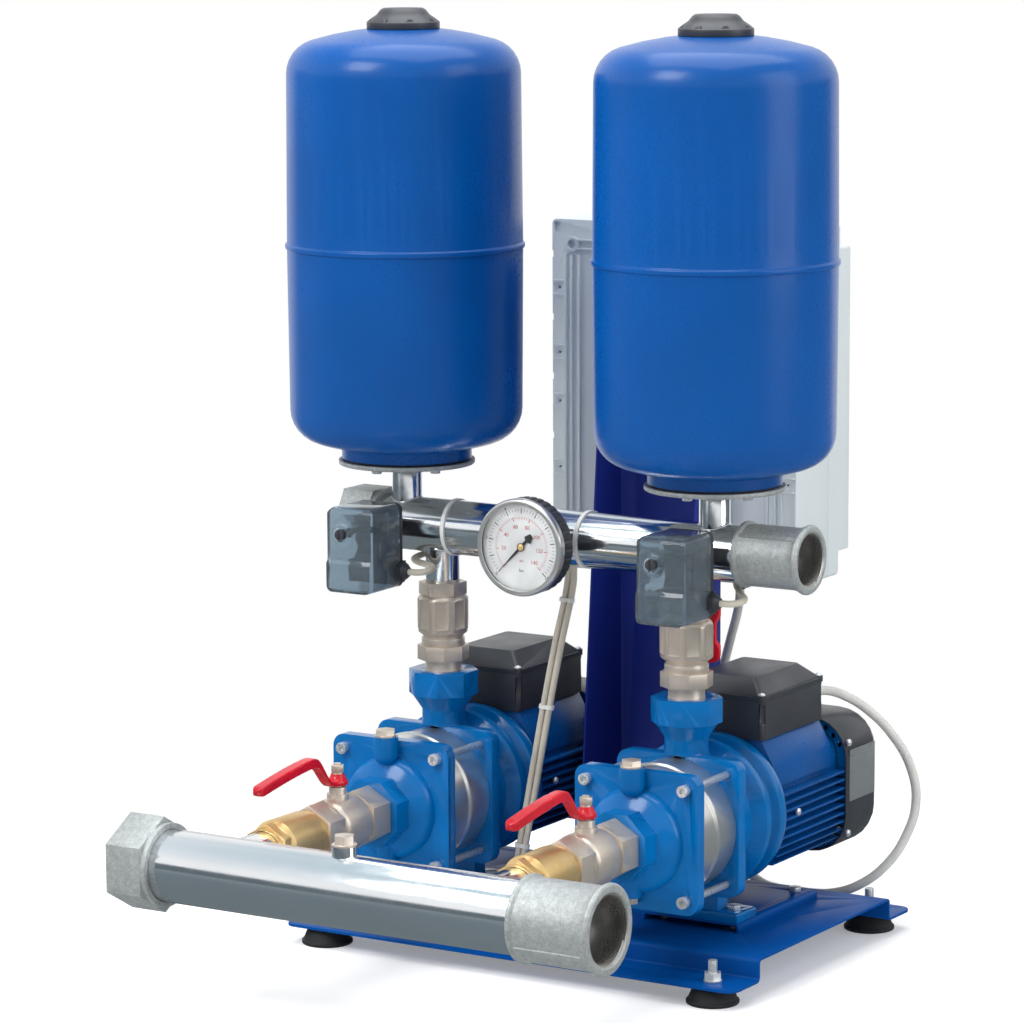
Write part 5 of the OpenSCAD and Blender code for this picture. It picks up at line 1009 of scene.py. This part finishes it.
class BOOSTER_OT_gauge_face(bpy.types.Operator):
    """Scales and numbers of the gauge, and the hub of its pointer"""
    bl_idname = "booster.gauge_face"
    bl_label = "Gauge face"

    def execute(self, context):
        steps = sizes().scale_steps
        low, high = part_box("gauge_dial")
        reach = (high.x - low.x) / 2
        front = low.y - 0.1 * MM
        place = (GAUGE.x, front, GAUGE.z)
        common = {"Zero angle": ZERO_ANGLE, "Sweep": SCALE_SWEEP, "Place": place, "Thickness": 0.15 * MM}
        strokes = tick_tree()
        # Name, count, share of the dial's radius, length and width in millimetres
        black = [("gauge_main_strokes", steps + 1, 0.80, 5.2, 0.9),
                 ("gauge_fine_strokes", 5 * steps + 1, 0.815, 3.0, 0.35)]
        red = [("gauge_red_strokes", RED_STEPS + 1, 0.63, 4.6, 0.8),
               ("gauge_red_fine_strokes", 10 * RED_STEPS + 1, 0.65, 2.6, 0.35)]
        for look, rows in (("print_black", black), ("print_red", red)):
            for name, count, share, long, wide in rows:
                grow(name, strokes, look, {**common, "Count": count, "Radius": reach * share,
                                           "Stroke length": long * MM, "Stroke width": wide * MM})
        outer = [dial_word(str(i), ZERO_ANGLE - SCALE_SWEEP * i / steps, reach * 0.91, 5.2 * MM, front)
                 for i in range(0, steps + 1, 2)]
        outer.append(dial_word("bar", math.radians(270), reach * 0.52, 5.0 * MM, front))
        inner = [dial_word(str(20 * i), ZERO_ANGLE - SCALE_SWEEP * i / RED_STEPS, reach * 0.46, 6.0 * MM, front)
                 for i in range(1, RED_STEPS + 1)]
        inner.append(dial_word("psi", math.radians(270), reach * 0.30, 4.2 * MM, front))
        place_piece("gauge_numbers", join_meshes("gauge_numbers", outer), "print_black")
        place_piece("gauge_red_numbers", join_meshes("gauge_red_numbers", inner), "print_red")
        pointer_low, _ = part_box("gauge_pointer")

        def hub(bm):
            bmesh.ops.create_uvsphere(bm, u_segments=24, v_segments=12, radius=HUB_R)
            for vert in bm.verts:
                vert.co = Vector((vert.co.x, HUB_FLAT * vert.co.y, vert.co.z)) + Vector(
                    (GAUGE.x, pointer_low.y + HUB_SINK, GAUGE.z))
        cap = place_piece("pointer_hub", mesh_from(hub, "pointer_hub"), "brass",
                          BODY_OF["gauge_pointer"])
        cap.data.shade_smooth()
        return {"FINISHED"}


# Threads, welds, screws and plates

# Start and shortening of a thread against its mouth's depth, and the share of a ridge that is sunk in the wall
THREAD_START = 3 * MM
THREAD_SHORT = 4.4 * MM
THREAD_SINK = 0.2
# Bore radius and depth of the threaded mouth of each socket
MOUTH_SEATS = {"suction_socket": (36.3 * MM, 50 * MM), "delivery_socket": (28.6 * MM, 41 * MM)}


class BOOSTER_OT_threads(bpy.types.Operator):
    """Threads in the mouths of the two sockets"""
    bl_idname = "booster.threads"
    bl_label = "Socket threads"

    def execute(self, context):
        s = sizes()
        tree = thread_tree()
        for node, (radius, deep) in MOUTH_SEATS.items():
            low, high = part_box(node)
            grow(node + "_thread", tree, "thread", {
                "Radius": radius - THREAD_SINK * s.thread_depth, "Pitch": s.thread_pitch, "Length": deep - THREAD_SHORT,
                "Depth": s.thread_depth, "Place": (high.x - deep + THREAD_START, middle(node).y, middle(node).z)})
        return {"FINISHED"}


def saddle(centre, pipe_axis, branch_axis, pipe_r, branch_r):
    """The line where a branch stands on a pipe."""
    third = pipe_axis.cross(branch_axis)
    ring = []
    for i in range(RING_STEPS):
        angle = 2 * math.pi * i / RING_STEPS
        side = branch_r * math.sin(angle)
        ring.append(centre + pipe_axis * branch_r * math.cos(angle) + third * side
                    + branch_axis * math.sqrt(max(pipe_r ** 2 - side ** 2, 0)))
    return ring


# Radii of the pipe and of the stubs and bosses that the beads run round
SUCTION_R = 38.05 * MM
SUCTION_STUB_R = 21.2 * MM
DELIVERY_STUB_R = 19 * MM
RISER_R = 16.85 * MM
BOSS_R = 11 * MM
RING_STEPS = 72


class BOOSTER_OT_welds(bpy.types.Operator):
    """Weld beads where stubs and bosses stand on the manifolds"""
    bl_idname = "booster.welds"
    bl_label = "Weld beads"

    def execute(self, context):
        along, up, forward = Vector((1, 0, 0)), Vector((0, 0, 1)), Vector((0, -1, 0))
        flange_low, flange_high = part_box("tank_flanges")
        flange_r = (flange_high.y - flange_low.y) / 2
        tanks = [flange_low.x + flange_r, flange_high.x - flange_r]
        rings = []
        for x in tanks:
            rings.append(saddle(Vector((x, DELIVERY.y, DELIVERY.z)), along, up, PIPE_R, RISER_R))
            rings.append(saddle(Vector((x, DELIVERY.y, DELIVERY.z)), along, forward, PIPE_R, BOSS_R))
            turns = [2 * math.pi * i / RING_STEPS for i in range(RING_STEPS)]
            rings.append([Vector((x + RISER_R * math.cos(a), DELIVERY.y + RISER_R * math.sin(a), flange_low.z))
                          for a in turns])
        rings.append(saddle(Vector((GAUGE.x, DELIVERY.y, DELIVERY.z)), along, forward, PIPE_R, BOSS_R))
        for pump in PUMPS:
            rings.append(saddle(Vector((pump.x, DELIVERY.y, DELIVERY.z)), along, -up, PIPE_R, DELIVERY_STUB_R))
            rings.append(saddle(Vector((pump.x, SUCTION.y, SUCTION.z)), along, -forward,
                                SUCTION_R, SUCTION_STUB_R))
        grow("weld_beads", bead_tree(), "bright_pipe", {"Radius": sizes().weld},
             source=loops_mesh("weld_lines", rings))
        return {"FINISHED"}


LID_LUG = 5 * MM
SCREW_HEIGHT = 1.5 * MM
LID_SCREW_LEVEL = 6.5 * MM
# Places on the flat side of a fan cover: behind its front edge and above the shaft
COVER_SCREWS = ((6 * MM, 50.5 * MM), (5 * MM, -52.5 * MM))
PLATE_THICK = 0.6 * MM
PLATE_FROM = 7.5 * MM
PLATE_LONG = 61 * MM
PLATE_LOW = -17 * MM
PLATE_HIGH = 41.5 * MM
# Place of the earth screw on a motor's side, from the cover's front edge and the shaft
EARTH_SCREW = (-110 * MM, -5.5 * MM)


def fan_cover_sides():
    """Half width of the fan covers and their front edge."""
    low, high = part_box("fan_covers")
    return (high.z - low.z) / 2, low.y


class BOOSTER_OT_screws(bpy.types.Operator):
    """Small screws of the terminal lids, fan covers and motors"""
    bl_idname = "booster.screws"
    bl_label = "Small screws"

    def execute(self, context):
        s = sizes()
        tree = screw_tree()
        low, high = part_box("terminal_lids")
        half = (high.x - low.x - (PUMPS[1].x - PUMPS[0].x)) / 2 - LID_LUG
        lids = [Vector((pump.x + side * half, y, low.z + LID_SCREW_LEVEL)) for pump in PUMPS for side in (-1, 1)
                for y in (low.y + LID_LUG, high.y - LID_LUG)]
        head = {"Head radius": s.lid_screw, "Head height": SCREW_HEIGHT}
        grow("lid_screws", tree, "zinc", {**head, "Facing": (0, 0, 0)},
             source=points_mesh("lid_screw_points", lids))
        cover_half, cover_front = fan_cover_sides()
        for side, turn in ((1, math.pi / 2), (-1, -math.pi / 2)):
            spots = [Vector((pump.x + side * cover_half, cover_front + y, pump.z + z)) for pump in PUMPS
                     for y, z in COVER_SCREWS]
            if side > 0:
                motor_low, motor_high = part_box("motor_housings")
                motor_half = (motor_high.x - motor_low.x - (PUMPS[1].x - PUMPS[0].x)) / 2
                spots += [Vector((pump.x + motor_half, cover_front + EARTH_SCREW[0], pump.z + EARTH_SCREW[1]))
                          for pump in PUMPS]
            grow("cover_screws_" + ("right" if side > 0 else "left"), tree, "zinc",
                 {**head, "Facing": (0, turn, 0)}, source=points_mesh("cover_screw_points", spots))
        return {"FINISHED"}


class BOOSTER_OT_plates(bpy.types.Operator):
    """Bare rating plates on the fan covers"""
    bl_idname = "booster.plates"
    bl_label = "Rating plates"

    def execute(self, context):
        cover_half, cover_front = fan_cover_sides()
        axes = (Vector((1, 0, 0)), Vector((0, 1, 0)), Vector((0, 0, 1)))

        def plates(bm):
            for pump in PUMPS:
                centre = Vector((pump.x + cover_half + PLATE_THICK / 2, cover_front + PLATE_FROM + PLATE_LONG / 2,
                                 pump.z + (PLATE_LOW + PLATE_HIGH) / 2))
                block(bm, centre, axes, (PLATE_THICK, PLATE_LONG, PLATE_HIGH - PLATE_LOW))
        place_piece("rating_plates", mesh_from(plates, "rating_plates"), "plate")
        return {"FINISHED"}


class BOOSTER_PT_panel(bpy.types.Panel):
    """The pieces of the set, in the order in which they are made"""
    bl_idname = "BOOSTER_PT_panel"
    bl_label = "Booster set"
    bl_space_type = "VIEW_3D"
    bl_region_type = "UI"
    bl_category = "Booster set"

    def draw(self, context):
        for operator in OPERATORS:
            self.layout.operator(operator.bl_idname)


OPERATORS = (BOOSTER_OT_stage, BOOSTER_OT_cables, BOOSTER_OT_finishes, BOOSTER_OT_springs, BOOSTER_OT_gauge_face,
             BOOSTER_OT_threads, BOOSTER_OT_welds, BOOSTER_OT_screws, BOOSTER_OT_plates)
CLASSES = (BoosterColours, BoosterSizes, *OPERATORS, BOOSTER_PT_panel)


def register():
    """Registers the classes and hangs the properties on the scene."""
    for cls in CLASSES:
        bpy.utils.register_class(cls)
    bpy.types.Scene.booster_colours = PointerProperty(type=BoosterColours)
    bpy.types.Scene.booster_sizes = PointerProperty(type=BoosterSizes)


def unregister():
    """Takes the properties off the scene and removes the classes."""
    del bpy.types.Scene.booster_sizes
    del bpy.types.Scene.booster_colours
    for cls in reversed(CLASSES):
        bpy.utils.unregister_class(cls)


def main():
    register()
    FINISH.update(finishes())
    for operator in OPERATORS:
        family, name = operator.bl_idname.split(".")
        getattr(getattr(bpy.ops, family), name)()


if __name__ == "__main__":
    main()
